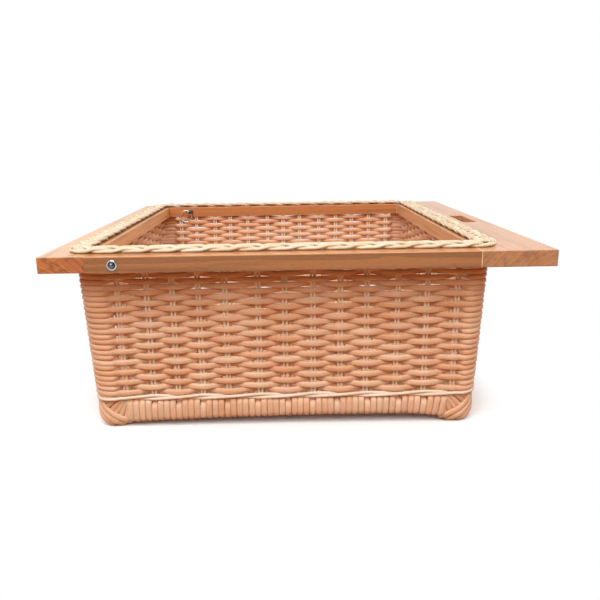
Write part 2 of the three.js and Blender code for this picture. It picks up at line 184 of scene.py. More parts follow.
def half_size(height):
    """Half the wall's length and width at a height: it leans in towards the foot."""
    drop = np.clip((WALL_TOP - height) / (WALL_TOP - WALL_BOTTOM), 0, 1)
    return TOP_HALF - (TOP_HALF - FOOT_HALF) * drop


def side_frame(turn):
    """The direction along a side and the direction that it faces, in plan."""
    angle = turn * math.pi / 2
    along = np.array([round(math.cos(angle)), round(math.sin(angle))], float)
    return along, np.array([along[1], -along[0]])


def stake_places(turn):
    """How far along a side its stake pairs stand, from the side's middle."""
    reach = TOP_HALF[turn % 2] - CORNER_TO_STAKE
    if turn == 0:
        shift = np.array(LEFT_STAKE_SHIFTS)
    else:
        most = 2.2
        shift = np.random.default_rng(SEED + turn).uniform(-most, most, STAKES[turn])
    return np.linspace(-reach, reach, STAKES[turn]) + shift * MM


class Round:
    """A walk round the basket in plan: points, outward directions, distances and stake beats.

    A beat counts the stake pairs on the way round: a whole number at each pair.
    """

    # Steps along a side grow shorter towards its ends, where the canes bend most
    SHORTENING = 0.25
    # In beats from a corner's last stake: where a row has left it, and over how far it goes to the outside
    CORNER_START, CORNER_EASE = 0.1, 0.16
    # A point counts as near the left side's end stakes from this level, less 1 for each reach in beats
    NEAR_LEVEL, NEAR_REACH = 1.15, 0.45

    def __init__(self, half, radius, step, stakes=True):
        points, outward, stations = [], [], []
        walked = 0.0
        for turn in range(4):
            along, facing = side_frame(turn)
            reach, away = half[turn % 2] - radius, half[1 - turn % 2]
            for t in np.linspace(-1, 1, math.ceil(2 * reach / step) + 1):
                place_along = reach * ((1 + self.SHORTENING) * t - self.SHORTENING * t ** 3)
                points.append(facing * away + along * place_along)
                outward.append(facing)
            stations += [walked + reach + stake for stake in stake_places(turn)]
            walked += 2 * reach + radius * math.pi / 2
            arc_steps = max(4, math.ceil(radius * math.pi / 2 / step) + 1)
            middle = facing * (away - radius) + along * reach
            for angle in np.linspace(0, math.pi / 2, arc_steps + 1)[1:-1]:
                direction = facing * math.cos(angle) + along * math.sin(angle)
                points.append(middle + direction * radius)
                outward.append(direction)
        self.points = np.array(points) + [CENTRE_X, 0]
        self.outward = np.array(outward)
        steps = np.linalg.norm(np.roll(self.points, -1, axis=0) - self.points, axis=1)
        self.distance = np.concatenate([[0], np.cumsum(steps)[:-1]])
        self.length = steps.sum()
        if stakes:
            self._count_stakes(np.array(stations) * self.length / walked)

    def _count_stakes(self, places):
        """The beat of each point, and how far it is on a corner or near the left side's end stakes."""
        count = len(places)
        places = np.concatenate([[places[-1] - self.length], places, [places[0] + self.length]])
        self.beat = np.interp(self.distance, places, np.arange(-1, count + 1))
        self.corner = self._corners(np.cumsum(STAKES))
        ends = np.array([0, STAKES[0] - 1, count])
        from_end = np.abs(self.beat[:, None] - ends[None, :]).min(axis=1)
        self.near_corner = np.clip(self.NEAR_LEVEL - from_end / self.NEAR_REACH, 0, 1)

    def _corners(self, last):
        """How far each point is on a corner, where a row stays outside: 0 at the stakes, 1 round it."""
        corner = np.zeros(len(self.beat))
        for stake in (last - 1, last - 1 - last[-1]):
            for first in stake:
                along = np.clip(self.beat - first, 0, 1)
                from_stake = np.minimum(along, 1 - along)
                ease = np.clip((from_stake - self.CORNER_START) / self.CORNER_EASE, 0, 1)
                corner = np.maximum(corner, ease * ease * (3 - 2 * ease))
        return corner

    def path(self, depth, height):
        """The points moved outwards by a depth, at a height. Both may change along the way."""
        moved = self.points + self.outward * np.broadcast_to(depth, len(self.points))[:, None]
        return np.column_stack([moved, np.broadcast_to(height, len(self.points))])

    def facing(self):
        return np.column_stack([self.outward, np.zeros(len(self.outward))])


def wander(rng, walk, amount):
    """A gentle wobble that closes on itself, as hand-laid cane has."""
    fewest, past_most, parts = 3, 19, 4
    turn = 2 * math.pi * walk.distance / walk.length
    waves = [np.sin(k * turn + rng.uniform(0, 2 * math.pi)) for k in rng.integers(fewest, past_most, parts)]
    return amount * np.sum(waves, axis=0) / 2


# Meshes


class Bundle:
    """Canes, rods and strands that make up one piece, each swept along its own path."""

    CAP_ANGLES = np.radians([30, 58, 80])

    def __init__(self):
        self.points, self.faces, self.runs, self.tones = [], [], [], []
        self.count = 0

    def sweep(self, path, outward, depth, height=None, sides=8, closed=False,
              tone=0.5, swell=1.0, square=2.0):
        """Adds one cane of a depth along outward and a height across it.

        Its section is an oval where square is 2, and flatter-sided above that.
        """
        path, height = np.asarray(path, float), height or depth
        outward = np.broadcast_to(np.asarray(outward, float), path.shape)
        if closed:
            tangent = np.roll(path, -1, axis=0) - np.roll(path, 1, axis=0)
        else:
            tangent = np.gradient(path, axis=0)
        tangent /= np.linalg.norm(tangent, axis=1)[:, None]
        grow = np.ones(len(path)) * swell
        if not closed:
            path, outward, tangent, grow = self._rounded_ends(path, outward, tangent, grow, depth / 2)
        deep = np.broadcast_to(depth, len(path))[:, None, None]
        across = np.cross(tangent, outward)
        across /= np.linalg.norm(across, axis=1)[:, None]
        up = np.cross(across, tangent)
        angle = np.linspace(0, 2 * math.pi, sides, endpoint=False)
        power = 2 / np.broadcast_to(square, len(path))[:, None]
        wide, tall = (np.sign(part) * np.abs(part) ** power for part in (np.cos(angle), np.sin(angle)))
        ring = wide[..., None] * up[:, None] * deep / 2 + tall[..., None] * across[:, None] * height / 2
        points = path[:, None] + ring * grow[:, None, None]
        self._skin(points, path, closed, sides, math.pi * (deep.mean() + height) / 2, tone)

    def _rounded_ends(self, path, outward, tangent, grow, radius):
        """The path with a few shrinking steps added at each end."""
        reach = radius * np.sin(self.CAP_ANGLES)[:, None]
        start = (path[0] - tangent[0] * reach)[::-1]
        end = path[-1] + tangent[-1] * reach
        shrink = np.cos(self.CAP_ANGLES)
        more = len(self.CAP_ANGLES)
        longer = ((more, more), (0, 0))
        path = np.concatenate([start, path, end])
        outward, tangent = (np.pad(each, longer, mode="edge") for each in (outward, tangent))
        return path, outward, tangent, np.concatenate([shrink[::-1], grow, shrink])

    def _skin(self, points, path, closed, sides, girth, tone):
        """Adds the faces over a run of rings, with a map of the way along and round the cane."""
        rings = len(points)
        steps = np.linalg.norm(np.diff(path, axis=0, append=path[:1]), axis=1)
        travelled = np.concatenate([[0], np.cumsum(steps)])
        first = np.arange(rings if closed else rings - 1)[:, None]
        side = np.arange(sides)[None, :]
        near, far = first * sides, (first + 1) % rings * sides
        following = (side + 1) % sides
        quads = np.stack([near + side, far + side, far + following, near + following], axis=-1)
        self.faces += (quads.reshape(-1, 4) + self.count).tolist()
        left, right, low, high = np.broadcast_arrays(side, side + 1, travelled[first], travelled[first + 1])
        around = np.stack([left, left, right, right], -1)
        along = np.stack([low, high, high, low], -1)
        self.runs.append(np.stack([around * girth / sides, along], -1).reshape(-1, 2))
        faces = len(first) * sides
        if not closed:
            last = self.count + (rings - 1) * sides
            self.faces.append(list(range(self.count, self.count + sides)))
            self.faces.append(list(range(last + sides - 1, last - 1, -1)))
            self.runs.append(np.zeros((2 * sides, 2)))
            faces += 2
        self.points.append(points.reshape(-1, 3))
        self.tones.append(np.full(faces, tone))
        self.count += rings * sides

    def mesh(self, name):
        """All the canes of the bundle as one mesh."""
        mesh = bpy.data.meshes.new(name)
        mesh.from_pydata(np.concatenate(self.points).tolist(), [], self.faces)
        mesh.uv_layers.new(name=RUN_MAP).data.foreach_set("uv", np.concatenate(self.runs).ravel())
        mesh.attributes.new(TONE, "FLOAT", "FACE").data.foreach_set("value", np.concatenate(self.tones))
        mesh.shade_smooth()
        return mesh

    def make(self, name, material, slot, body=BODY):
        """Turns the bundle into one piece that rides on a body."""
        return place(name, self.mesh(name), material, body)


def show(name, mesh, material):
    """Puts a mesh in the scene with its finish."""
    piece = bpy.data.objects.new(name, mesh)
    bpy.context.scene.collection.objects.link(piece)
    piece.data.materials.append(material)
    return piece


def place(name, mesh, material, body=BODY):
    """Puts a mesh in the scene with its finish, riding on a body."""
    piece = show(name, mesh, material)
    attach(piece, body)
    return piece


def rounded_rectangle(half_x, half_y, radius, steps=6):
    """Points round a rectangle with rounded corners, anticlockwise."""
    points = []
    for turn in range(4):
        along, facing = side_frame(turn)
        reach = (half_x, half_y)[turn % 2] - radius
        away = (half_y, half_x)[turn % 2] - radius
        middle = facing * away + along * reach
        for angle in np.linspace(0, math.pi / 2, steps + 1):
            points.append(middle + (facing * math.cos(angle) + along * math.sin(angle)) * radius)
    return np.array(points)


def lathe(profile, sides=40):
    """A turned solid about Y from (radius, distance) points that start and end on the axis or close."""
    made = bmesh.new()
    angles = np.linspace(0, 2 * math.pi, sides, endpoint=False)
    rings = []
    for radius, along in profile:
        if radius < TINY:
            spots = [(0, along, 0)]
        else:
            spots = [(radius * math.cos(a), along, radius * math.sin(a)) for a in angles]
        rings.append([made.verts.new(spot) for spot in spots])
    for near, far in zip(rings, rings[1:]):
        for i in range(sides):
            j = (i + 1) % sides
            corners = [near[i % len(near)], near[j % len(near)], far[j % len(far)], far[i % len(far)]]
            made.faces.new(list(dict.fromkeys(corners)))
    bmesh.ops.remove_doubles(made, verts=made.verts, dist=TINY)
    bmesh.ops.recalc_face_normals(made, faces=made.faces)
    mesh = bpy.data.meshes.new("turned")
    made.to_mesh(mesh)
    made.free()
    return mesh


def drill(mesh, spot, direction, radius, length):
    """The mesh with a round hole through it, about a point and along a direction."""
    bit = lathe([(0, -length / 2), (radius, -length / 2), (radius, length / 2), (0, length / 2)])
    turned = Vector(direction).to_track_quat("Y", "Z").to_matrix().to_4x4()
    bit.transform(Matrix.Translation(spot) @ turned)
    solid, cutter = (bpy.data.objects.new("drilling", part) for part in (mesh, bit))
    for part in (solid, cutter):
        bpy.context.scene.collection.objects.link(part)
    hole = solid.modifiers.new("hole", "BOOLEAN")
    hole.operation, hole.solver, hole.object = "DIFFERENCE", "EXACT", cutter
    drilled = bpy.data.meshes.new_from_object(solid.evaluated_get(bpy.context.evaluated_depsgraph_get()))
    for part in (solid, cutter):
        bpy.data.objects.remove(part)
    return drilled


def ease_shading(mesh, sharp_degrees):
    """Smooth shading that keeps edges steeper than an angle sharp."""
    mesh.shade_smooth()
    mesh.set_sharp_from_angle(angle=math.radians(sharp_degrees))
    return mesh


# Materials


def add(tree, kind, inputs=None, stops=None, **settings):
    """Adds a node with its settings, and sets or links the sockets that inputs names."""
    made = tree.nodes.new(kind)
    for name, value in settings.items():
        setattr(made, name, value)
    for socket, value in (inputs or {}).items():
        if isinstance(value, bpy.types.NodeSocket):
            tree.links.new(value, made.inputs[socket])
        else:
            made.inputs[socket].default_value = value
    if stops:
        ramp = made.color_ramp
        while len(ramp.elements) < len(stops):
            ramp.elements.new(1)
        for element, (position, colour) in zip(ramp.elements, stops):
            element.position = position
            element.color = (*colour, 1)
    return made


def new_material(name):
    """A material with an empty tree, and its surface shader joined to the output."""
    material = bpy.data.materials.new(name)
    material.use_nodes = True
    tree = material.node_tree
    tree.nodes.clear()
    shader = add(tree, "ShaderNodeBsdfPrincipled")
    add(tree, "ShaderNodeOutputMaterial", {"Surface": shader.outputs["BSDF"]})
    return material, tree, shader


def set_sockets(shader, **values):
    for name, value in values.items():
        shader.inputs[name.replace("_", " ")].default_value = value


def darker(colour, share):
    """A colour at a share of its brightness."""
    return tuple(share * part for part in colour)


def cane_finish(name, dark, middle, light, fibre_mm, roughness):
    """Peeled cane: dull, with fibres along each length and a tone for each length, its own and, in the upper
    woven rows, painted shade.
    """
    material, tree, shader = new_material(name)
    # Real fibres are about 0.1 mm wide, and are drawn coarser so that they show
    fibre_length_mm, fibre_dark, fibre_light = 18, 0.86, 1.06
    patch_mm, patch_strength = 45, 0.9
    run = add(tree, "ShaderNodeUVMap", uv_map=RUN_MAP).outputs["UV"]
    tone = add(tree, "ShaderNodeAttribute", attribute_name=TONE).outputs["Fac"]
    stretched = add(tree, "ShaderNodeMapping", {
        "Vector": run, "Scale": (1 / (fibre_mm * MM), 1 / (fibre_length_mm * MM), 1)}).outputs["Vector"]
    fibres = add(tree, "ShaderNodeTexNoise", {
        "Vector": stretched, "Scale": 1.0, "Detail": 3.0, "Roughness": 0.6}).outputs["Fac"]
    patches = add(tree, "ShaderNodeTexNoise", {
        "Vector": add(tree, "ShaderNodeNewGeometry").outputs["Position"],
        "Scale": 1 / (patch_mm * MM), "Detail": 2.0}).outputs["Fac"]
    shifted = add(tree, "ShaderNodeMath", {0: patches, 1: 0.5}, operation="SUBTRACT").outputs[0]
    drifted = add(tree, "ShaderNodeMath", {0: shifted, 1: patch_strength, 2: tone},
                  operation="MULTIPLY_ADD").outputs[0]
    colour = add(tree, "ShaderNodeValToRGB", {"Fac": drifted},
                 stops=[(0.0, dark), (0.5, middle), (1.0, light)]).outputs["Color"]
    shade = add(tree, "ShaderNodeMapRange", {
        "Value": fibres, "From Min": 0.3, "From Max": 0.7,
        "To Min": fibre_dark, "To Max": fibre_light}).outputs["Result"]
    grained = add(tree, "ShaderNodeVectorMath", {0: colour, "Scale": shade}, operation="SCALE")
    tree.links.new(grained.outputs["Vector"], shader.inputs["Base Color"])
    bump = add(tree, "ShaderNodeBump", {"Height": fibres, "Strength": 0.5, "Distance": 0.15 * MM})
    tree.links.new(bump.outputs["Normal"], shader.inputs["Normal"])
    set_sockets(shader, Roughness=roughness, IOR=1.45, Subsurface_Weight=0.4,
                Subsurface_Radius=(1.0, 0.45, 0.2), Subsurface_Scale=2.2 * MM)
    return material


def grain_scale(grain_axis, along, across=1.0):
    """A scale for each axis, with one of its own along the grain."""
    return [along if axis == grain_axis else across for axis in "XYZ"]


def beech_rings(tree, stretched, grain_axis, pith, ring_mm):
    """Uneven growth rings about a pith outside the board, as 0 to 1 across each ring."""
    wave_mm, bend, lengthwise = 30, 9 * MM, 0.25
    uneven_scale, uneven_rings = 0.6, 2.5
    waves = add(tree, "ShaderNodeTexNoise", {
        "Vector": stretched, "Scale": 1 / (wave_mm * MM), "Detail": 3.0}).outputs["Color"]
    centred = add(tree, "ShaderNodeVectorMath", {0: waves, 1: (0.5, 0.5, 0.5)}, operation="SUBTRACT")
    bent = add(tree, "ShaderNodeVectorMath", {
        0: centred.outputs["Vector"], 1: (bend, bend, bend), 2: stretched}, operation="MULTIPLY_ADD")
    from_pith = add(tree, "ShaderNodeVectorMath", {0: bent.outputs["Vector"], 1: pith}, operation="SUBTRACT")
    flat = add(tree, "ShaderNodeVectorMath", {
        0: from_pith.outputs["Vector"], 1: grain_scale(grain_axis, lengthwise)}, operation="MULTIPLY")
    radius = add(tree, "ShaderNodeVectorMath", {0: flat.outputs["Vector"]}, operation="LENGTH")
    turns = add(tree, "ShaderNodeMath", {0: radius.outputs["Value"], 1: 1 / (ring_mm * MM)},
                operation="MULTIPLY").outputs[0]
    uneven = add(tree, "ShaderNodeTexNoise", {"W": turns, "Scale": uneven_scale, "Detail": 1.0},
                 noise_dimensions="1D").outputs["Fac"]
    counted = add(tree, "ShaderNodeMath", {0: uneven, 1: uneven_rings, 2: turns}, operation="MULTIPLY_ADD")
    return add(tree, "ShaderNodeMath", {0: counted.outputs[0]}, operation="FRACT").outputs[0]


def beech_finish(name, early_wood, grain_axis, pith, ring_mm, soak, figure, top):
    """Planed beech under satin varnish: growth rings, short ray flecks and deeper end grain.

    soak deepens the end grain, figure is how bold the rings are on the faces, and top scales the colour of
    the
    upper face: painted light where it is above 1, painted shade where it is below.
    """
    material, tree, shader = new_material(name)
    # Real ray flecks are about 0.3 mm wide and 2 mm long, and are drawn coarser so that they show
    fleck_mm, fleck_length_mm = 0.9, 7
    cloud_mm, streak_mm, stretch = 60, 7, 0.05
    end_figure, end_dull, late_dark = 0.55, 0.8, 0.6
    place_at = add(tree, "ShaderNodeTexCoord").outputs["Object"]
    stretched = add(tree, "ShaderNodeVectorMath", {0: place_at, 1: grain_scale(grain_axis, stretch)},
                    operation="MULTIPLY").outputs["Vector"]
    ring = beech_rings(tree, stretched, grain_axis, pith, ring_mm)
    fleck_scale = grain_scale(grain_axis, 1 / (fleck_length_mm * MM), 1 / (fleck_mm * MM))
    fleck_place = add(tree, "ShaderNodeVectorMath", {0: place_at, 1: fleck_scale}, operation="MULTIPLY")
    flecks = add(tree, "ShaderNodeTexNoise", {
        "Vector": fleck_place.outputs["Vector"], "Scale": 1.0, "Detail": 2.0}).outputs["Fac"]
    clouds, streaks = (add(tree, "ShaderNodeTexNoise", {
        "Vector": stretched, "Scale": 1 / (wide_mm * MM), "Detail": 2.0}).outputs["Fac"]
        for wide_mm in (cloud_mm, streak_mm))
    normal = add(tree, "ShaderNodeTexCoord").outputs["Normal"]
    facing = add(tree, "ShaderNodeSeparateXYZ", {"Vector": normal}).outputs
    end_grain = add(tree, "ShaderNodeMath", {0: facing[grain_axis]}, operation="ABSOLUTE").outputs[0]
    boldness = add(tree, "ShaderNodeMapRange", {
        "Value": end_grain, "To Min": figure, "To Max": end_figure}).outputs["Result"]
    total = add(tree, "ShaderNodeMapRange", {
        "Value": ring, "From Min": 0.35, "From Max": 1.0,
        "To Min": 0.0, "To Max": boldness}).outputs["Result"]
    for pattern, start, end, least, most in ((flecks, 0.56, 0.7, 0.0, 0.5), (streaks, 0.5, 0.7, 0.0, 0.6),
                                             (clouds, 0.3, 0.7, -0.15, 0.3)):
        shade = add(tree, "ShaderNodeMapRange", {
            "Value": pattern, "From Min": start, "From Max": end, "To Min": least, "To Max": most})
        total = add(tree, "ShaderNodeMath", {0: total, 1: shade.outputs["Result"]},
                    operation="ADD").outputs[0]
    colour = add(tree, "ShaderNodeValToRGB", {"Fac": total},
                 stops=[(0.0, early_wood), (1.0, darker(early_wood, late_dark))]).outputs["Color"]
    soaked = add(tree, "ShaderNodeMapRange", {"Value": end_grain, "To Min": 1.0, "To Max": soak})
    toned = add(tree, "ShaderNodeGamma", {
        "Color": colour, "Gamma": soaked.outputs["Result"]}).outputs["Color"]
    # The end grain is darker, as beech end grain is; top scales the upper face as painted light or painted
    # shade
    for face, most in ((end_grain, end_dull), (facing["Z"], top)):
        share = add(tree, "ShaderNodeMapRange", {"Value": face, "To Min": 1.0, "To Max": most})
        toned = add(tree, "ShaderNodeVectorMath", {0: toned, "Scale": share.outputs["Result"]},
                    operation="SCALE").outputs["Vector"]
    tree.links.new(toned, shader.inputs["Base Color"])
    bump = add(tree, "ShaderNodeBump", {"Height": flecks, "Strength": 0.15, "Distance": 0.1 * MM})
    tree.links.new(bump.outputs["Normal"], shader.inputs["Normal"])
    set_sockets(shader, Roughness=0.27, IOR=1.5)
    return material


def turned_hardwood(name):
    """Bare turned hardwood: matt, with faint lines along the rod."""
    material, tree, shader = new_material(name)
    line_mm, line_length_mm = 1.2, 24
    place_at = add(tree, "ShaderNodeTexCoord").outputs["Object"]
    scale = grain_scale("X", 1 / (line_length_mm * MM), 1 / (line_mm * MM))
    stretched = add(tree, "ShaderNodeVectorMath", {0: place_at, 1: scale}, operation="MULTIPLY")
    lines = add(tree, "ShaderNodeTexNoise", {
        "Vector": stretched.outputs["Vector"], "Scale": 1.0, "Detail": 3.0}).outputs["Fac"]
    bare = colours().dowel
    colour = add(tree, "ShaderNodeValToRGB", {"Fac": lines},
                 stops=[(0.3, darker(bare, 0.75)), (0.7, bare)]).outputs["Color"]
    tree.links.new(colour, shader.inputs["Base Color"])
    set_sockets(shader, Roughness=0.65, IOR=1.5)
    return material


def dried_glue(name):
    """Dried glue: a thin cream line, a little shiny and uneven."""
    material, tree, shader = new_material(name)
    patch_mm = 2
    place_at = add(tree, "ShaderNodeTexCoord").outputs["Object"]
    patches = add(tree, "ShaderNodeTexNoise", {
        "Vector": place_at, "Scale": 1 / (patch_mm * MM)}).outputs["Fac"]
    cream = colours().glue
    colour = add(tree, "ShaderNodeValToRGB", {"Fac": patches},
                 stops=[(0.3, darker(cream, 0.6)), (0.55, cream)]).outputs["Color"]
    tree.links.new(colour, shader.inputs["Base Color"])
    set_sockets(shader, Roughness=0.4, IOR=1.5)
    return material


def metal_finish(name, colour, roughness, smear_mm):
    """Metal with faint handling smears in its gloss."""
    material, tree, shader = new_material(name)
    smears = add(tree, "ShaderNodeTexNoise", {
        "Vector": add(tree, "ShaderNodeTexCoord").outputs["Object"],
        "Scale": 1 / (smear_mm * MM), "Detail": 3.0}).outputs["Fac"]
    gloss = add(tree, "ShaderNodeMapRange", {
        "Value": smears, "From Min": 0.3, "From Max": 0.7,
        "To Min": 0.7 * roughness, "To Max": 1.4 * roughness}).outputs["Result"]
    tree.links.new(gloss, shader.inputs["Roughness"])
    set_sockets(shader, Metallic=1.0, Base_Color=(*colour, 1))
    return material


def rod_finish(name, dark, light):
    """Thin cane rods: finer fibres than the broad canes, and a little shinier."""
    middle = [(a + b) / 2 for a, b in zip(dark, light)]
    return cane_finish(name, dark, middle, light, fibre_mm=0.4, roughness=0.5)


def peach_cane(name):
    """The rows, wraps and feet: warm and matt."""
    paint = colours()
    return cane_finish(name, paint.cane_dark, paint.cane, paint.cane_light, fibre_mm=0.5, roughness=0.55)


def cream_rod(name):
    """The border and the base's rods: cream."""
    return rod_finish(name, colours().pale_cane_dark, colours().pale_cane)


def tan_rod(name):
    """The stakes and the twist: pale, a little warmer than the border."""
    return rod_finish(name, colours().rod_cane_dark, colours().rod_cane)


def left_rail_beech(name):
    """The left rail: brown and well figured, with painted light that makes it much paler on top."""
    return beech_finish(name, colours().left_rail, "X", pith=(0, -310 * MM, 196 * MM),
                        ring_mm=3, soak=1.2, figure=0.7, top=1.65)


def right_rail_beech(name):
    """The right rail: plainer, with wide rings, and painted light that makes it paler on top."""
    return beech_finish(name, colours().right_rail, "X", pith=(0, 360 * MM, 100 * MM),
                        ring_mm=5, soak=1.2, figure=0.3, top=1.4)


def front_board_beech(name):
    """The front board: pale and plain, with painted shade that darkens its top a little."""
    return beech_finish(name, colours().front_board, "Y", pith=(275 * MM, 0, 120 * MM),
                        ring_mm=3.4, soak=1.05, figure=0.2, top=0.87)


def rear_board_beech(name):
    """The rear board: pale and plain, with dark end grain and painted shade that darkens its top."""
    return beech_finish(name, colours().rear_board, "Y", pith=(-280 * MM, 0, 120 * MM),
                        ring_mm=4.2, soak=1.7, figure=0.2, top=0.8)


def chrome_plate(name):
    """The bushes: a bright mirror."""
    return metal_finish(name, colours().chrome, roughness=0.07, smear_mm=6)


def ring_wire(name):
    """The pull rings: pale, with a satin gloss."""
    return metal_finish(name, colours().ring, roughness=0.2, smear_mm=3)


def nickel_plate(name):
    """The pins: a mirror, darkened as a painted dark reflection."""
    return metal_finish(name, colours().nickel, roughness=0.06, smear_mm=6)


def spring_wire(name):
    """The springs and their seats: grey and dull."""
    return metal_finish(name, colours().spring_steel, roughness=0.3, smear_mm=2)


FINISHES = {
    "peeled peach cane": peach_cane,
    "cream cane rod": cream_rod,
    "tan cane rod": tan_rod,
    "beech left rail": left_rail_beech,
    "beech right rail": right_rail_beech,
    "beech front board": front_board_beech,
    "beech rear board": rear_board_beech,
    "dried glue": dried_glue,
    "turned hardwood": turned_hardwood,
    "bright chrome plate": chrome_plate,
    "satin ring wire": ring_wire,
    "nickel plate with painted dark reflection": nickel_plate,
    "drawn spring wire": spring_wire,
}


def find_finish(name):
    """The finish of a name, made when it is first asked for."""
    return bpy.data.materials.get(name) or FINISHES[name](name)


# Woven pieces


def make_weavers():
    """Rows of cane, each a ring that passes in front of every other stake pair and behind the rest."""
    rng = np.random.default_rng(SEED)
    size = sizes()
    rows = size.weaver_rows
    pitch = (WEAVE_HIGH - WEAVE_LOW) / rows
    step, wobble_out, wobble_up = 3.2 * MM, 0.15 * MM, 0.3 * MM
    sway = 0.53 * (size.stake_rod + size.weaver_depth)
    # Round a corner a row stays outside, farther out than at a stake, and is deeper and more oval
    corner_out, corner_deep, corner_oval, corner_thin = 1.6, 0.25, 0.9, 0.06
    # In front of a stake a row is full, and behind one it is thinner, most of all at the left side's ends
    full, behind_thin, end_thin, flat = 1.03, 0.14, 0.5, 3.0
    # The upper rows of the left side lie a little apart
    loosest, loose_from, loose_over = 0.04, 0.6 * rows, 5
    # Higher rows are darker: painted shade under the rail
    painted_shade_under_rail = 0.25
    walls = [f"woven_wall_{name}" for name in SIDES] + [f"woven_corner_{name}" for name in CORNERS]
    for row in range(rows):
        height = WEAVE_LOW + (row + 0.5) * pitch
        walk = Round(half_size(height), CORNER_RADIUS, step)
        wave = np.cos(math.pi * (walk.beat + row))
        depth = sway * (wave + walk.corner * (corner_out - wave)) + wander(rng, walk, wobble_out)
        level = height + wander(rng, walk, wobble_up)
        on_left = np.clip(-walk.outward[:, 1], 0, 1)
        loose = loosest * np.clip(row - loose_from, 0, loose_over) / loose_over * on_left
        behind = np.arccos(np.clip(wave, -1, 1)) / math.pi
        taper = (behind_thin * behind + end_thin * walk.near_corner * behind) * (1 - walk.corner)
        swell = rng.uniform(0.98, 1.02) * (full - taper - loose - corner_thin * walk.corner)
        tone = rng.uniform(0.6, 1.0) - painted_shade_under_rail * row / rows
        bundle = Bundle()
        bundle.sweep(walk.path(depth, level), walk.facing(),
                     size.weaver_depth * (1 + corner_deep * walk.corner), size.weaver_height,
                     sides=12, closed=True, tone=tone, swell=swell, square=flat - corner_oval * walk.corner)
        piece = bundle.make(f"weaver_row_{row + 1:02d}", find_finish("peeled peach cane"), "cane")
        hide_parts(*walls)


def make_stakes():
    """Pairs of thin pale rods that the rows are woven round, from the foot up into the frame."""
    rng = np.random.default_rng(SEED)
    size = sizes()
    into_band, into_frame = 1 * MM, 2 * MM
    foot, top = BAND_HIGH[2] - into_band, FRONT_LOW[2] + into_frame
    longer_mm, uneven_mm = [0, 0, 2, 5], 0.15
    half_pair = 0.64 * size.stake_rod
    for turn, name in enumerate(SIDES):
        along, facing = side_frame(turn)
        bundle = Bundle()
        for place_along in stake_places(turn):
            for hand in (-1, 1):
                heights = np.linspace(foot - rng.choice(longer_mm) * MM, top, 8)
                aside = hand * half_pair + rng.uniform(-uneven_mm, uneven_mm) * MM
                path = []
                for height in heights:
                    away = half_size(height)[1 - turn % 2]
                    spot = facing * (away + STAKE_SHIFT[turn]) + along * (place_along + aside)
                    path.append((spot[0] + CENTRE_X, spot[1], height))
                bundle.sweep(path, (*facing, 0), size.stake_rod, sides=8, tone=rng.uniform(0.6, 1))
        piece = bundle.make(f"stake_pairs_{name}", find_finish("tan cane rod"), "pale_cane")
        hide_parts(f"woven_wall_{name}")


def make_twist():
    """Two pale strands that twist round each other over the stakes, above the band."""
    rng = np.random.default_rng(SEED)
    size = sizes()
    step, wobble = 3.0 * MM, 0.3 * MM
    out_mm, corner_out_mm = 4.2, 1.8
    # Near 1 the strands rise and fall along straight lines, and towards 0 along a wave
    straightness = 0.96
    walk = Round(FOOT_HALF, CORNER_RADIUS, step)
    apart = 0.52 * size.twist_strand
    out = (out_mm + corner_out_mm * walk.corner) * MM
    height = (FOOT_LOW[2] + FOOT_HIGH[2]) / 2 - TWIST_DROP
    for strand, name in enumerate(("upper", "lower")):
        phase = math.pi * (walk.beat / 2 + strand)
        rise = np.arcsin(straightness * np.sin(phase)) / math.asin(straightness)
        level = height + apart * rise + wander(rng, walk, wobble)
        path = walk.path(out + apart * np.cos(phase), level)
        bundle = Bundle()
        bundle.sweep(path, walk.facing(), size.twist_strand, sides=8, closed=True,
                     tone=rng.uniform(0.5, 0.9))
        piece = bundle.make(f"foot_twist_{name}_strand", find_finish("tan cane rod"), "pale_cane")
        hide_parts("foot_twist")


def wrap_loop(low, high, half_depth):
    """Depths and heights of one wrap: down the outside, under, up the inside and over."""
    turns = np.linspace(0, math.pi, 9)
    over = [(half_depth * math.cos(a), high - half_depth + half_depth * math.sin(a)) for a in turns]
    under = [(-half_depth * math.cos(a), low + half_depth - half_depth * math.sin(a)) for a in turns]
    middle = (low + high) / 2
    return np.array(over + [(-half_depth, middle)] + under + [(half_depth, middle)])


def band_sag(share):
    """How far the band hangs down at a share of its half length: slowly to its start, late at its end."""
    start_drop, start_reach, end_drop = 5.2 * MM, 0.83, 4.6 * MM
    slow, late = max(0, 1 - start_reach * (1 + share)), max(0, share)
    return start_drop * slow ** 1.6 + end_drop * late ** 8


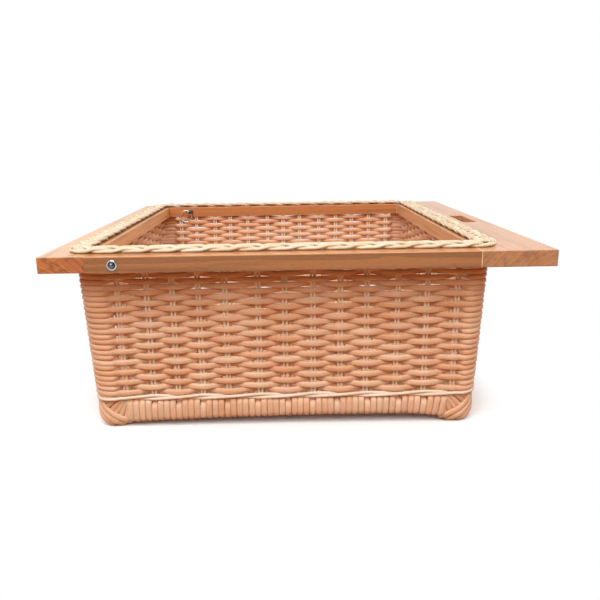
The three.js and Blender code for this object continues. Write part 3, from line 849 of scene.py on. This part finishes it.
def make_band():
    """Upright wraps of cane side by side round the base, lower at the stakes, where the tips show."""
    rng = np.random.default_rng(SEED)
    size = sizes()
    off_floor, end_lean = 0.9 * MM, 5 * MM
    under_stake, under_top = 6.2 * MM, 1.8 * MM
    uneven_low_mm, uneven_place_mm = 0.25, 0.15
    inset = size.wrap_thickness / 2
    half_depth = (WALL - size.wrap_thickness) / 2
    for turn, name in enumerate(SIDES):
        along, facing = side_frame(turn)
        low_end, high_end = box_round(f"base_band_{name}")
        reach = (high_end - low_end)[turn % 2] / 2 - FAN_OVER_BAND
        count = round(2 * reach / size.wrap_pitch)
        places = np.linspace(-reach, reach, count + 1)[:-1] + reach / count
        stakes = stake_places(turn)
        bundle = Bundle()
        for spot in places:
            share = spot / reach
            at_stake = np.abs(stakes - spot).min() < size.wrap_pitch / 2
            uneven = rng.uniform(-uneven_low_mm, uneven_low_mm) * MM
            low = BAND_LOW[2] + off_floor - band_sag(share) + uneven
            high = BAND_HIGH[2] - (under_stake if at_stake else under_top)
            loop = wrap_loop(low + inset, high - inset, half_depth)
            lean = end_lean * max(0, share) ** 5 * (loop[:, 1:] - low) / (high - low)
            shift = spot + rng.uniform(-uneven_place_mm, uneven_place_mm) * MM + lean
            plan = facing * (FOOT_HALF[1 - turn % 2] + loop[:, :1]) + along * shift
            path = np.column_stack([plan[:, 0] + CENTRE_X, plan[:, 1], loop[:, 1]])
            bundle.sweep(path, (*along, 0), size.wrap, size.wrap_thickness, sides=12, closed=True,
                         tone=rng.uniform(0.75, 0.95), square=3.6)
        piece = bundle.make(f"base_wraps_{name}", find_finish("peeled peach cane"), "cane")
        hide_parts(f"base_band_{name}")


class CornerSurface:
    """A corner of the foot: u runs round it from its middle, and depth stands out from its surface."""

    OUTER = CORNER_RADIUS + WALL / 2

    def __init__(self, turn):
        self.along, self.facing = side_frame(turn)
        self.middle = (self.facing * (FOOT_HALF[1 - turn % 2] - CORNER_RADIUS)
                       + self.along * (FOOT_HALF[turn % 2] - CORNER_RADIUS))

    def at(self, u, depth):
        """The plan point and the outward direction at a distance round the corner."""
        arc = self.OUTER * math.pi / 4
        angle = math.pi / 4 + np.clip(u, -arc, arc) / self.OUTER
        direction = self.facing * math.cos(angle) + self.along * math.sin(angle)
        straight = np.array(-self.facing if u > 0 else -self.along) * max(0, abs(u) - arc)
        spot = self.middle + direction * (CORNER_RADIUS + depth) + straight
        return spot + [CENTRE_X, 0], direction

    def path(self, start, end, depths, bow=0.0, steps=14):
        """A cane over the surface from one (u, height) to another, bowed sideways in its middle."""
        points, outward = [], []
        for t in np.linspace(0, 1, steps):
            u = start[0] + (end[0] - start[0]) * t
            height = start[1] + (end[1] - start[1]) * t - bow * math.sin(math.pi * t)
            spot, direction = self.at(u, np.interp(t, np.linspace(0, 1, len(depths)), depths))
            points.append((*spot, height))
            outward.append((*direction, 0))
        return np.array(points), np.array(outward)


# Canes of a corner foot, as (distance round the corner, height) from start to end, in millimetres
FAN_CANES = [((12, 32), (-1, 25.5)), ((20, 33), (4, 20.5)), ((27, 32.5), (9, 15)), ((31, 32), (14.5, 12)),
             ((31.5, 32.5), (21, 8.5)), ((35, 32), (27, 5))]
CROSSING_CANES = [((-10, 35), (33, 5.6)), ((-19.5, 35), (25, 2.8)), ((-29, 34), (15, 2.6))]
# How far those canes stand out from the corner, from start to end, in millimetres
FAN_DEPTHS = (2.6, 3.4, 3.0)
CROSSING_DEPTHS = (1.5, 4.4, 5.0, 5.0, 5.0, 4.4, 1.0)


def foot_core(bundle, corner, rng):
    """Upright wraps inside a corner foot, behind the canes that show."""
    size = sizes()
    width, wraps, reach = 0.9 * size.wrap, 9, 26 * MM
    foot, under_band, inwards, thinner = 7 * MM, 4 * MM, 2.4 * MM, 1.2 * MM
    half_depth = (WALL - size.wrap) / 2 - thinner
    for place_round in np.linspace(-reach, reach, wraps):
        loop = wrap_loop(foot, BAND_HIGH[2] - under_band, half_depth)
        spots = [corner.at(place_round, depth - inwards) for depth, _ in loop]
        path = [(*spot, height) for (spot, _), (_, height) in zip(spots, loop)]
        across = np.array([-spots[0][1][1], spots[0][1][0], 0])
        bundle.sweep(path, across, width, sides=8, closed=True, tone=rng.uniform(0.2, 0.5))


def foot_ends(cane, hand):
    """The two ends of a cane of a corner foot, in metres, on one hand of the corner."""
    return [(hand * u * MM, z * MM) for u, z in cane]


def make_feet():
    """Corner feet: a fan of short canes with three longer ones laid across it, down to the floor."""
    rng = np.random.default_rng(SEED)
    fan_depth, fan_width = 4.2 * MM, 5.3 * MM
    crossing_depth, crossing_width, crossing_bow = 4.6 * MM, 6.2 * MM, 3.6 * MM
    # Each side ends at the corner after the one that it starts from
    for turn, name in enumerate((*CORNERS[1:], CORNERS[0])):
        corner = CornerSurface(turn)
        bundle = Bundle()
        foot_core(bundle, corner, rng)
        for hand in (-1, 1):
            for cane in FAN_CANES:
                path, outward = corner.path(*foot_ends(cane, hand), depths=np.array(FAN_DEPTHS) * MM)
                bundle.sweep(path, outward, fan_depth, fan_width, sides=12,
                             tone=rng.uniform(0.5, 0.8), square=3.4)
        hand = -1 if turn % 2 == 0 else 1
        for cane in CROSSING_CANES:
            path, outward = corner.path(*foot_ends(cane, hand), depths=np.array(CROSSING_DEPTHS) * MM,
                                        bow=crossing_bow, steps=24)
            bundle.sweep(path, outward, crossing_depth, crossing_width, sides=12,
                         tone=rng.uniform(0.65, 0.9), square=2.8)
        piece = bundle.make(f"foot_canes_{name}", find_finish("peeled peach cane"), "cane")
        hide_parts(f"corner_foot_{name}")


def make_base():
    """The woven base: flat canes across, over and under cream rods, with four ribs below."""
    rng = np.random.default_rng(SEED)
    middle = (BASE_LOW[2] + BASE_HIGH[2]) / 2
    rod, thick, wide, gap = 2.2 * MM, 1.8 * MM, 5.6 * MM, 0.3 * MM
    into_wall, rib_end = 2 * MM, 3 * MM
    half_pair = 0.55 * rod
    sway = (rod + thick) / 2
    up = (0, 0, 1)
    rod_places = stake_places(1)
    pitch = rod_places[1] - rod_places[0]
    rods = Bundle()
    for spot in rod_places:
        for hand in (-1, 1):
            aside = spot + hand * half_pair
            path = [(x, aside, middle) for x in np.linspace(BASE_LOW[0], BASE_HIGH[0], 12)]
            rods.sweep(path, up, rod, sides=8, tone=rng.uniform(0.3, 0.9))
    piece = rods.make("base_rods", find_finish("cream cane rod"), "pale_cane")
    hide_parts("base_panel")
    canes = Bundle()
    count = round((BASE_HIGH[0] - BASE_LOW[0]) / (wide + gap))
    span = np.linspace(BASE_LOW[1] - into_wall, BASE_HIGH[1] + into_wall, 8 * len(rod_places))
    for row, spot in enumerate(np.linspace(BASE_LOW[0], BASE_HIGH[0], count + 1)[:-1] + wide / 2):
        beat = (span - rod_places[0]) / pitch
        level = middle + sway * np.cos(math.pi * (beat + row))
        path = np.column_stack([np.full(len(span), spot), span, level])
        canes.sweep(path, up, thick, wide, sides=8, tone=rng.uniform(0.2, 0.8))
    piece = canes.make("base_canes", find_finish("peeled peach cane"), "cane")
    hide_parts("base_panel")
    for number in range(1, 5):
        low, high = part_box(f"base_rib_{number}")
        rib = Bundle()
        centre = (low + high) / 2
        path = [(x, centre.y, centre.z) for x in np.linspace(low.x + rib_end, high.x - rib_end, 10)]
        rib.sweep(path, up, high.z - low.z, sides=16)
        piece = rib.make(f"base_rib_rod_{number}", find_finish("turned hardwood"), "dowel_wood")
        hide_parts(f"base_rib_{number}")


def make_border():
    """The plaited border: three strands of four cream rods, each passing from an edge to the middle."""
    rng = np.random.default_rng(SEED)
    size = sizes()
    half = (BORDER_HIGH[:2] - BORDER_LOW[:2]) / 2
    width, inward, bend, step = 21.5 * MM, 0.8 * MM, 14 * MM, 2.6 * MM
    strands, rods, wobble = 3, 4, 0.12 * MM
    lift, thick, tilt = 1.6 * MM, 2.7 * MM, 1.0 * MM
    # How long a strand lies along an edge before it turns back, and how flat it is held there
    flatness, inner_flat, outer_press = 1.8, 0.75, 0.5
    walk = Round(half - width / 2 - inward, bend, step, stakes=False)
    units = strands * round(walk.length / size.plait_unit / strands)
    turn = 2 * math.pi * units / strands * walk.distance / walk.length
    pitch = 1.07 * size.plait_rod
    spread = (width - rods * pitch) / 2
    level = BORDER_LOW[2] + lift + thick / 2
    for strand in range(strands):
        bundle = Bundle()
        phase = turn + strand * 2 * math.pi / strands
        middle = spread * np.tanh(flatness * np.sin(phase)) / math.tanh(flatness)
        slope = np.gradient(middle, walk.distance)
        inside = 0.5 - 0.5 * np.sin(phase)
        # Over one strand and under the next, raised less along the inner edge and pressed down at the outer
        dip = (np.sin(2 * phase) + 0.5 * np.sin(4 * phase)) / 1.3
        raised = np.where(dip < 0, 1 - inner_flat * inside, 1)
        dip = raised * dip + outer_press * (1 - inside) * np.sin(phase) ** 4
        sunk = np.maximum(level + tilt * (inside - 0.5) - lift * dip, BORDER_LOW[2] + thick / 2)
        for rod in range(rods):
            offset = (rod - (rods - 1) / 2) * pitch
            depth = middle + offset * np.sqrt(1 + slope ** 2)
            height = sunk + wander(rng, walk, wobble)
            bundle.sweep(walk.path(depth, height), (0, 0, 1), thick, size.plait_rod, sides=8, closed=True,
                         tone=rng.uniform(0.15, 1))
        piece = bundle.make(f"border_strand_{strand + 1}", find_finish("cream cane rod"), "pale_cane")
        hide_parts(*(f"plaited_border_{name}" for name in SIDES))


# Frame


def eased_profile(edge, low, high, steps=5):
    """Insets and heights up the side of a slab whose two edges are rounded."""
    angles = np.linspace(0, math.pi / 2, steps + 1)
    rings = [(edge * (1 - math.cos(a)), low + edge * (1 - math.sin(a))) for a in angles]
    return rings[::-1] + [(inset, low + high - height) for inset, height in rings]


def frame_slab(half_width):
    """The whole frame as one slab with eased edges, an opening and a finger slot, before it is cut."""
    half_length = (FRONT_HIGH[0] - REAR_LOW[0]) / 2
    centre_x = (FRONT_HIGH[0] + REAR_LOW[0]) / 2
    opening_x = (FRONT_LOW[0] + REAR_HIGH[0]) / 2
    opening_half = (FRONT_LOW[0] - REAR_HIGH[0]) / 2
    opening_width = -RAIL_HIGH[1]
    outer_corner, opening_corner, slot_corner, least = 1.4 * MM, 0.4 * MM, 3 * MM, 0.05 * MM
    slot_length, slot_width, slot_in = 75 * MM, 17.5 * MM, 13.5 * MM
    slot_x = FRONT_HIGH[0] - slot_in - slot_width / 2
    # Half length, half width, corner radius, middle, and whether an eased edge widens or narrows the outline
    outlines = [
        (half_length, half_width, outer_corner, centre_x, -1),
        (opening_half, opening_width, opening_corner, opening_x, 1),
        (slot_width / 2, slot_length / 2, slot_corner, slot_x, 1),
    ]
    profile = eased_profile(sizes().board_edge, FRONT_LOW[2], FRONT_HIGH[2])
    made = bmesh.new()
    top_edges, bottom_edges = [], []
    for reach_x, reach_y, radius, middle_x, grow in outlines:
        loops = []
        for inset, height in profile:
            moved = grow * inset
            plan = rounded_rectangle(reach_x + moved, reach_y + moved, max(radius + moved, least))
            loops.append([made.verts.new((x + middle_x, y, height)) for x, y in plan])
        for near, far in zip(loops, loops[1:]):
            for i in range(len(near)):
                j = (i + 1) % len(near)
                made.faces.new((near[i], near[j], far[j], far[i]))
        for verts, edges in ((loops[0], bottom_edges), (loops[-1], top_edges)):
            edges += [made.edges.get((verts[i], verts[(i + 1) % len(verts)])) for i in range(len(verts))]
    bmesh.ops.triangle_fill(made, use_beauty=True, edges=top_edges)
    bmesh.ops.triangle_fill(made, use_beauty=True, edges=bottom_edges)
    bmesh.ops.recalc_face_normals(made, faces=made.faces)
    return made


def cut_board(made, cuts, name):
    """The part of a slab between cutting planes, each a point and the direction that is taken off."""
    for point, taken in cuts:
        everything = made.verts[:] + made.edges[:] + made.faces[:]
        cut = bmesh.ops.bisect_plane(
            made, geom=everything, plane_co=point, plane_no=taken, clear_outer=True, dist=TINY)
        edges = [e for e in cut["geom_cut"] if isinstance(e, bmesh.types.BMEdge)]
        bmesh.ops.holes_fill(made, edges=[e for e in edges if e.is_boundary])
    bmesh.ops.recalc_face_normals(made, faces=made.faces)
    mesh = bpy.data.meshes.new(name)
    made.to_mesh(mesh)
    made.free()
    return mesh


def pin_axis(name):
    """The middle of a stop pin's axis."""
    low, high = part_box(f"{name}_stop_pin")
    return (low + high) / 2


def make_frame():
    """Two boards and two rails of beech, cut from one slab so that their faces meet flush."""
    rear_joint, front_joint = REAR_HIGH[0], FRONT_LOW[0]
    half_width, rear_half = FRONT_HIGH[1], REAR_HIGH[1]
    glue, rear_gap, sharp_degrees, bore_length = 0.35 * MM, 0.2 * MM, 50, 120 * MM
    forward, backward, left, right = (1, 0, 0), (-1, 0, 0), (0, -1, 0), (0, 1, 0)
    rail_cuts = [((rear_joint + rear_gap, 0, 0), backward), ((front_joint - glue, 0, 0), forward)]
    boards = {
        "front_board": (half_width, [((front_joint + glue, 0, 0), backward)], "beech front board"),
        "rear_board": (rear_half, [((rear_joint, 0, 0), forward)], "beech rear board"),
        "left_rail": (half_width, [*rail_cuts, ((0, 0, 0), right)], "beech left rail"),
        "right_rail": (half_width, [*rail_cuts, ((0, 0, 0), left)], "beech right rail"),
    }
    for node, (width, cuts, finish) in boards.items():
        mesh = cut_board(frame_slab(width), cuts, node)
        if node.endswith("_rail"):
            mesh = drill(mesh, pin_axis(node.removesuffix("_rail")), right, PIN_BORE / 2, bore_length)
        piece = place(f"beech_{node}", ease_shading(mesh, sharp_degrees), find_finish(finish))
        even = piece.modifiers.new("even_shading", "WEIGHTED_NORMAL")
        even.keep_sharp = True
        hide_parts(node)
    line_cuts = [((front_joint - glue, 0, 0), backward), ((front_joint + glue, 0, 0), forward)]
    for name, inner, away in (("left", RAIL_HIGH[1], right), ("right", -RAIL_HIGH[1], left)):
        mesh = cut_board(frame_slab(half_width), [*line_cuts, ((0, inner, 0), away)], "glue")
        place(f"glue_line_{name}", ease_shading(mesh, sharp_degrees), find_finish("dried glue"))


# Stop pins


def pin_profile():
    """A stop pin: domed tip, body, collar, stem and rounded tail, in millimetres in from the rail's face."""
    body, collar, stem = 3.2, 4.2, 2.5
    collar_start, collar_end, tail = 14.3, 16.0, 52.0
    dome = [(0, -5.0), (1.2, -4.75), (2.2, -4.1), (2.9, -3.1), (body, -1.9)]
    shoulders = [(body, collar_start), (collar, collar_start), (collar, collar_end), (stem, collar_end)]
    rounding = [(stem, 51.2), (2.1, 51.8), (1.4, tail), (0, tail)]
    return dome + shoulders + rounding


def bush_profile(bore, face, end):
    """A flanged bush from its flange's face to its barrel's end, in millimetres in from the rail's face."""
    barrel, flange, thick, eased, lip = 4.3, 5.0, 1.0, 0.4, 0.3
    inwards = 1 if end > face else -1
    under = face + inwards * thick
    return [(bore, face + inwards * lip), (bore + lip, face), (flange - eased, face),
            (flange, face + inwards * eased), (flange, under), (barrel, under), (barrel, end), (bore, end),
            (bore, face + inwards * lip)]


def make_turned_pieces(name, hand):
    """A stop pin, drilled for its ring, and the two bushes that it slides in."""
    axis = pin_axis(name)
    low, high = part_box(f"{name}_pull_ring")
    centre = (low + high) / 2
    hang = centre - axis
    eye_length, sharp_degrees = 12 * MM, 35
    spot = Matrix.Translation((axis.x, hand * FRONT_HIGH[1], axis.z))
    turn = Matrix.Rotation(math.pi if hand > 0 else 0, 4, "Z")
    chrome, nickel = find_finish("bright chrome plate"), find_finish("nickel plate with painted dark reflection")
    turned = {
        "stop_pin": (pin_profile(), f"{name}_stop_pin", nickel),
        "outer_bush": (bush_profile(bore=3.5, face=-1.3, end=14.0), BODY, chrome),
        "inner_bush": (bush_profile(bore=2.8, face=42.3, end=34.0), BODY, chrome),
    }
    for label, (profile, body, finish) in turned.items():
        mesh = lathe([(r * MM, y * MM) for r, y in profile])
        mesh.transform(spot @ turn)
        if label == "stop_pin":
            eye = (axis.x, centre.y, axis.z)
            mesh = drill(mesh, eye, (-hang.z, 0, hang.x), RING_EYE / 2, eye_length)
        piece = place(f"turned_{name}_{label}", ease_shading(mesh, sharp_degrees), finish, body)
        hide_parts(f"{name}_{label}")


def make_spring(name):
    """A coil of wire between the inner bush and the spring seat."""
    low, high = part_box(f"{name}_spring")
    centre = (low + high) / 2
    wire, turns, turn_steps = 0.8 * MM, 7, 24
    radius = (high.x - low.x - wire) / 2
    angles = np.linspace(0, 2 * math.pi * turns, turn_steps * turns)
    along = np.linspace(low.y + wire / 2, high.y - wire / 2, len(angles))
    path = np.column_stack([centre.x + radius * np.cos(angles), along, centre.z + radius * np.sin(angles)])
    coil = Bundle()
    coil.sweep(path, (0, 1, 0), wire, sides=8)
    label = f"coiled_{name}_spring"
    piece = show(label, coil.mesh(label), find_finish("drawn spring wire"))
    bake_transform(piece)
    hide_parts(f"{name}_spring")


def make_ring(name):
    """A split pull ring: two turns of flat wire side by side."""
    low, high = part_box(f"{name}_pull_ring")
    centre = (low + high) / 2
    wire, wire_tall, wire_middle, steps = 0.75 * MM, 1.7 * MM, 0.8 * MM, 120
    radius = (high.x - low.x) / 2 - wire_middle
    spread = 1.2 * wire
    path = []
    for share in np.linspace(0, 1, steps):
        angle = 4 * math.pi * share
        path.append((centre.x + radius * math.cos(angle), centre.y + spread * (share - 0.5),
                     centre.z + radius * math.sin(angle)))
    ring = Bundle()
    ring.sweep(path, (0, 1, 0), wire, wire_tall, sides=10)
    label = f"split_{name}_pull_ring"
    piece = ring.make(label, find_finish("satin ring wire"), "chrome", f"{name}_pull_ring")
    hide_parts(f"{name}_pull_ring")


def make_stop_pins():
    """Plated stop pins with their flanged bushes, springs and split pull rings."""
    for hand, name in zip((-1, 1), HANDS):
        make_turned_pieces(name, hand)
        make_spring(name)
        make_ring(name)


def finish_hidden_pieces():
    """Finishes for the CAD pieces that stay: dowels, edge rods and spring seats."""
    wood, steel = find_finish("turned hardwood"), find_finish("drawn spring wire")
    for name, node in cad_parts.items():
        finish = wood if name.startswith(("dowel", "edge_rod")) else steel if "spring" in name else None
        if finish:
            node.data.materials.clear()
            node.data.materials.append(finish)


# Stage


WHITE = (1.0, 1.0, 1.0, 1.0)


def seen_rays(tree):
    """1 for rays that show a thing to the eye, straight or in a gloss or through glass, else 0."""
    rays = add(tree, "ShaderNodeLightPath").outputs
    seen = add(tree, "ShaderNodeMath", {0: rays["Is Camera Ray"], 1: rays["Is Glossy Ray"]},
               operation="MAXIMUM").outputs[0]
    return add(tree, "ShaderNodeMath", {0: seen, 1: rays["Is Transmission Ray"]},
               operation="MAXIMUM").outputs[0]


def floor_finish():
    """Matt studio floor: white to the eye with the shadow under the basket, and plain white farther off."""
    material, tree, shader = new_material("studio floor")
    shadow_from, shadow_to = 12 * MM, 60 * MM
    seen = seen_rays(tree)
    tint = add(tree, "ShaderNodeValToRGB", {"Fac": seen},
               stops=[(0.0, colours().floor_bounce), (1.0, colours().floor)]).outputs["Color"]
    tree.links.new(tint, shader.inputs["Base Color"])
    set_sockets(shader, Roughness=0.9, IOR=1.3)
    place_at = add(tree, "ShaderNodeTexCoord").outputs["Object"]
    # The distance from the basket's foot in plan
    away = add(tree, "ShaderNodeVectorMath", {0: place_at, 1: (CENTRE_X, 0, 0)}, operation="SUBTRACT")
    away = add(tree, "ShaderNodeVectorMath", {0: away.outputs["Vector"]}, operation="ABSOLUTE")
    away = add(tree, "ShaderNodeVectorMath", {0: away.outputs["Vector"], 1: (*FOOT_HALF, 0)},
               operation="SUBTRACT")
    away = add(tree, "ShaderNodeVectorMath", {0: away.outputs["Vector"]}, operation="MAXIMUM")
    away = add(tree, "ShaderNodeVectorMath", {0: away.outputs["Vector"]}, operation="LENGTH")
    far = add(tree, "ShaderNodeMapRange", {
        "Value": away.outputs["Value"], "From Min": shadow_from, "From Max": shadow_to},
        interpolation_type="SMOOTHSTEP").outputs["Result"]
    glowing = add(tree, "ShaderNodeMath", {0: far, 1: seen}, operation="MULTIPLY").outputs[0]
    glow = add(tree, "ShaderNodeEmission", {"Color": WHITE, "Strength": 1.0})
    mixed = add(tree, "ShaderNodeMixShader", {
        "Fac": glowing, 1: shader.outputs["BSDF"], 2: glow.outputs["Emission"]})
    tree.links.new(mixed.outputs["Shader"], tree.nodes["Material Output"].inputs["Surface"])
    return material


def set_world():
    """Soft white light from above, dim and warm low down, and plain white behind the object."""
    sky_strength, dark_room = 0.97, 0.03
    world = bpy.data.worlds.new("studio")
    bpy.context.scene.world = world
    world.use_nodes = True
    tree = world.node_tree
    tree.nodes.clear()
    camera_ray = add(tree, "ShaderNodeLightPath").outputs["Is Camera Ray"]
    direction = add(tree, "ShaderNodeSeparateXYZ", {
        "Vector": add(tree, "ShaderNodeTexCoord").outputs["Generated"]}).outputs
    above = add(tree, "ShaderNodeMapRange", {"Value": direction["Z"], "From Min": 0.1, "From Max": 1.0},
                interpolation_type="SMOOTHSTEP").outputs["Result"]
    ceiling = add(tree, "ShaderNodeValToRGB", {"Fac": above},
                  stops=[(0.0, colours().low_light), (1.0, WHITE[:3])]).outputs["Color"]
    soft = add(tree, "ShaderNodeBackground", {"Color": ceiling, "Strength": sky_strength})
    # Metal shows a dark room on the basket's left and a white one on its right
    room = add(tree, "ShaderNodeMapRange", {
        "Value": direction["Y"], "From Min": -0.5, "From Max": 0.4, "To Min": dark_room, "To Max": 1.0},
        interpolation_type="SMOOTHSTEP").outputs["Result"]
    shown = add(tree, "ShaderNodeMath", {0: room, 1: camera_ray}, operation="MAXIMUM").outputs[0]
    backdrop = add(tree, "ShaderNodeBackground", {"Color": WHITE, "Strength": shown})
    light = add(tree, "ShaderNodeMixShader", {
        "Fac": seen_rays(tree), 1: soft.outputs["Background"], 2: backdrop.outputs["Background"]})
    add(tree, "ShaderNodeOutputWorld", {"Surface": light.outputs["Shader"]})


def add_softbox(name, spot, target, size, power, in_gloss=True):
    """A large square lamp that faces a point."""
    lamp = bpy.data.lights.new(name, "AREA")
    lamp.shape, lamp.size, lamp.energy = "SQUARE", size, power
    lit = bpy.data.objects.new(name, lamp)
    bpy.context.scene.collection.objects.link(lit)
    lit.location = spot
    lit.visible_glossy = in_gloss
    lit.rotation_euler = (Vector(target) - Vector(spot)).to_track_quat("-Z", "Y").to_euler()


def set_camera():
    """The photograph's view: close, a little above the frame, looking down."""
    spot = Vector((-11.14, -866.94, 294.63)) * MM
    pitch, roll = math.radians(13.746), math.radians(-0.928)
    camera = bpy.data.cameras.new("camera")
    camera.lens, camera.sensor_width = 38.73, 36
    camera.shift_x = 0.0234
    camera.clip_end = 50
    seen = bpy.data.objects.new("camera", camera)
    bpy.context.scene.collection.objects.link(seen)
    tilt = Matrix.Rotation(math.pi / 2 - pitch, 4, "X")
    seen.matrix_world = Matrix.Translation(spot) @ tilt @ Matrix.Rotation(roll, 4, "Z")
    bpy.context.scene.camera = seen


def make_stage():
    """The floor, the lights, the white surroundings and the camera."""
    reach = 12.0
    corners = [(-reach, -reach, 0), (reach, -reach, 0), (reach, reach, 0), (-reach, reach, 0)]
    floor = bpy.data.meshes.new("floor")
    floor.from_pydata(corners, [], [(0, 1, 2, 3)])
    piece = bpy.data.objects.new("floor", floor)
    bpy.context.scene.collection.objects.link(piece)
    floor.materials.append(floor_finish())
    set_world()
    rim = (0, 0, 0.15)
    add_softbox("overhead softbox", (-0.2, -1.38, 1.72), (0, -0.1, 0.1), size=2.0, power=48)
    add_softbox("left softbox", (-1.6, 1.2, 0.75), rim, size=1.0, power=14, in_gloss=False)
    add_softbox("right softbox", (1.5, 1.6, 0.75), rim, size=1.0, power=20, in_gloss=False)
    set_camera()
    bpy.context.scene.view_settings.view_transform = "Standard"


# Operators


class BasketOperator:
    """What the operators share: each makes its pieces, and raises an error where it can't."""

    bl_options = {"REGISTER", "UNDO"}

    def execute(self, context):
        self.make()
        return {"FINISHED"}


class BASKET_OT_stage(BasketOperator, bpy.types.Operator):
    """Set up the floor, lights and camera"""

    bl_idname = "basket.stage"
    bl_label = "Studio Stage"
    make = staticmethod(make_stage)


class BASKET_OT_frame(BasketOperator, bpy.types.Operator):
    """Make the beech boards and rails"""

    bl_idname = "basket.frame"
    bl_label = "Beech Frame"
    make = staticmethod(make_frame)


class BASKET_OT_stop_pins(BasketOperator, bpy.types.Operator):
    """Make the stop pins, their bushes, springs and pull rings"""

    bl_idname = "basket.stop_pins"
    bl_label = "Stop Pins"
    make = staticmethod(make_stop_pins)


class BASKET_OT_stakes(BasketOperator, bpy.types.Operator):
    """Make the stake pairs"""

    bl_idname = "basket.stakes"
    bl_label = "Stake Pairs"
    make = staticmethod(make_stakes)


class BASKET_OT_weavers(BasketOperator, bpy.types.Operator):
    """Make the rows of woven cane"""

    bl_idname = "basket.weavers"
    bl_label = "Woven Rows"
    make = staticmethod(make_weavers)


class BASKET_OT_twist(BasketOperator, bpy.types.Operator):
    """Make the twisted strands above the band"""

    bl_idname = "basket.twist"
    bl_label = "Foot Twist"
    make = staticmethod(make_twist)


class BASKET_OT_band(BasketOperator, bpy.types.Operator):
    """Make the wraps round the base"""

    bl_idname = "basket.band"
    bl_label = "Base Wraps"
    make = staticmethod(make_band)


class BASKET_OT_feet(BasketOperator, bpy.types.Operator):
    """Make the corner feet"""

    bl_idname = "basket.feet"
    bl_label = "Corner Feet"
    make = staticmethod(make_feet)


class BASKET_OT_base(BasketOperator, bpy.types.Operator):
    """Make the woven base and its ribs"""

    bl_idname = "basket.base"
    bl_label = "Woven Base"
    make = staticmethod(make_base)


class BASKET_OT_border(BasketOperator, bpy.types.Operator):
    """Make the plaited border"""

    bl_idname = "basket.border"
    bl_label = "Plaited Border"
    make = staticmethod(make_border)


class BASKET_OT_hidden_pieces(BasketOperator, bpy.types.Operator):
    """Finish the dowels, edge rods and spring seats"""

    bl_idname = "basket.hidden_pieces"
    bl_label = "Dowels, Rods and Seats"
    make = staticmethod(finish_hidden_pieces)


OPERATORS = (BASKET_OT_stage, BASKET_OT_frame, BASKET_OT_stop_pins, BASKET_OT_stakes, BASKET_OT_weavers,
             BASKET_OT_twist, BASKET_OT_band, BASKET_OT_feet, BASKET_OT_base, BASKET_OT_border,
             BASKET_OT_hidden_pieces)


class BASKET_PT_panel(bpy.types.Panel):
    """Makes the basket piece by piece"""

    bl_idname = "BASKET_PT_panel"
    bl_label = "Woven Basket"
    bl_space_type = "VIEW_3D"
    bl_region_type = "UI"
    bl_category = "Basket"

    def draw(self, context):
        for group in (context.scene.basket_sizes, context.scene.basket_colours):
            for name in group.__annotations__:
                self.layout.prop(group, name)
        for operator in OPERATORS:
            self.layout.operator(operator.bl_idname)


CLASSES = (BasketSizes, BasketColours, *OPERATORS, BASKET_PT_panel)


def register():
    for cls in CLASSES:
        bpy.utils.register_class(cls)
    bpy.types.Scene.basket_sizes = bpy.props.PointerProperty(type=BasketSizes)
    bpy.types.Scene.basket_colours = bpy.props.PointerProperty(type=BasketColours)


def unregister():
    del bpy.types.Scene.basket_colours
    del bpy.types.Scene.basket_sizes
    for cls in reversed(CLASSES):
        bpy.utils.unregister_class(cls)


def main():
    register()
    bpy.ops.basket.stage()
    bpy.ops.basket.frame()
    bpy.ops.basket.stop_pins()
    bpy.ops.basket.stakes()
    bpy.ops.basket.weavers()
    bpy.ops.basket.twist()
    bpy.ops.basket.band()
    bpy.ops.basket.feet()
    bpy.ops.basket.base()
    bpy.ops.basket.border()
    bpy.ops.basket.hidden_pieces()


if __name__ == "__main__":
    main()
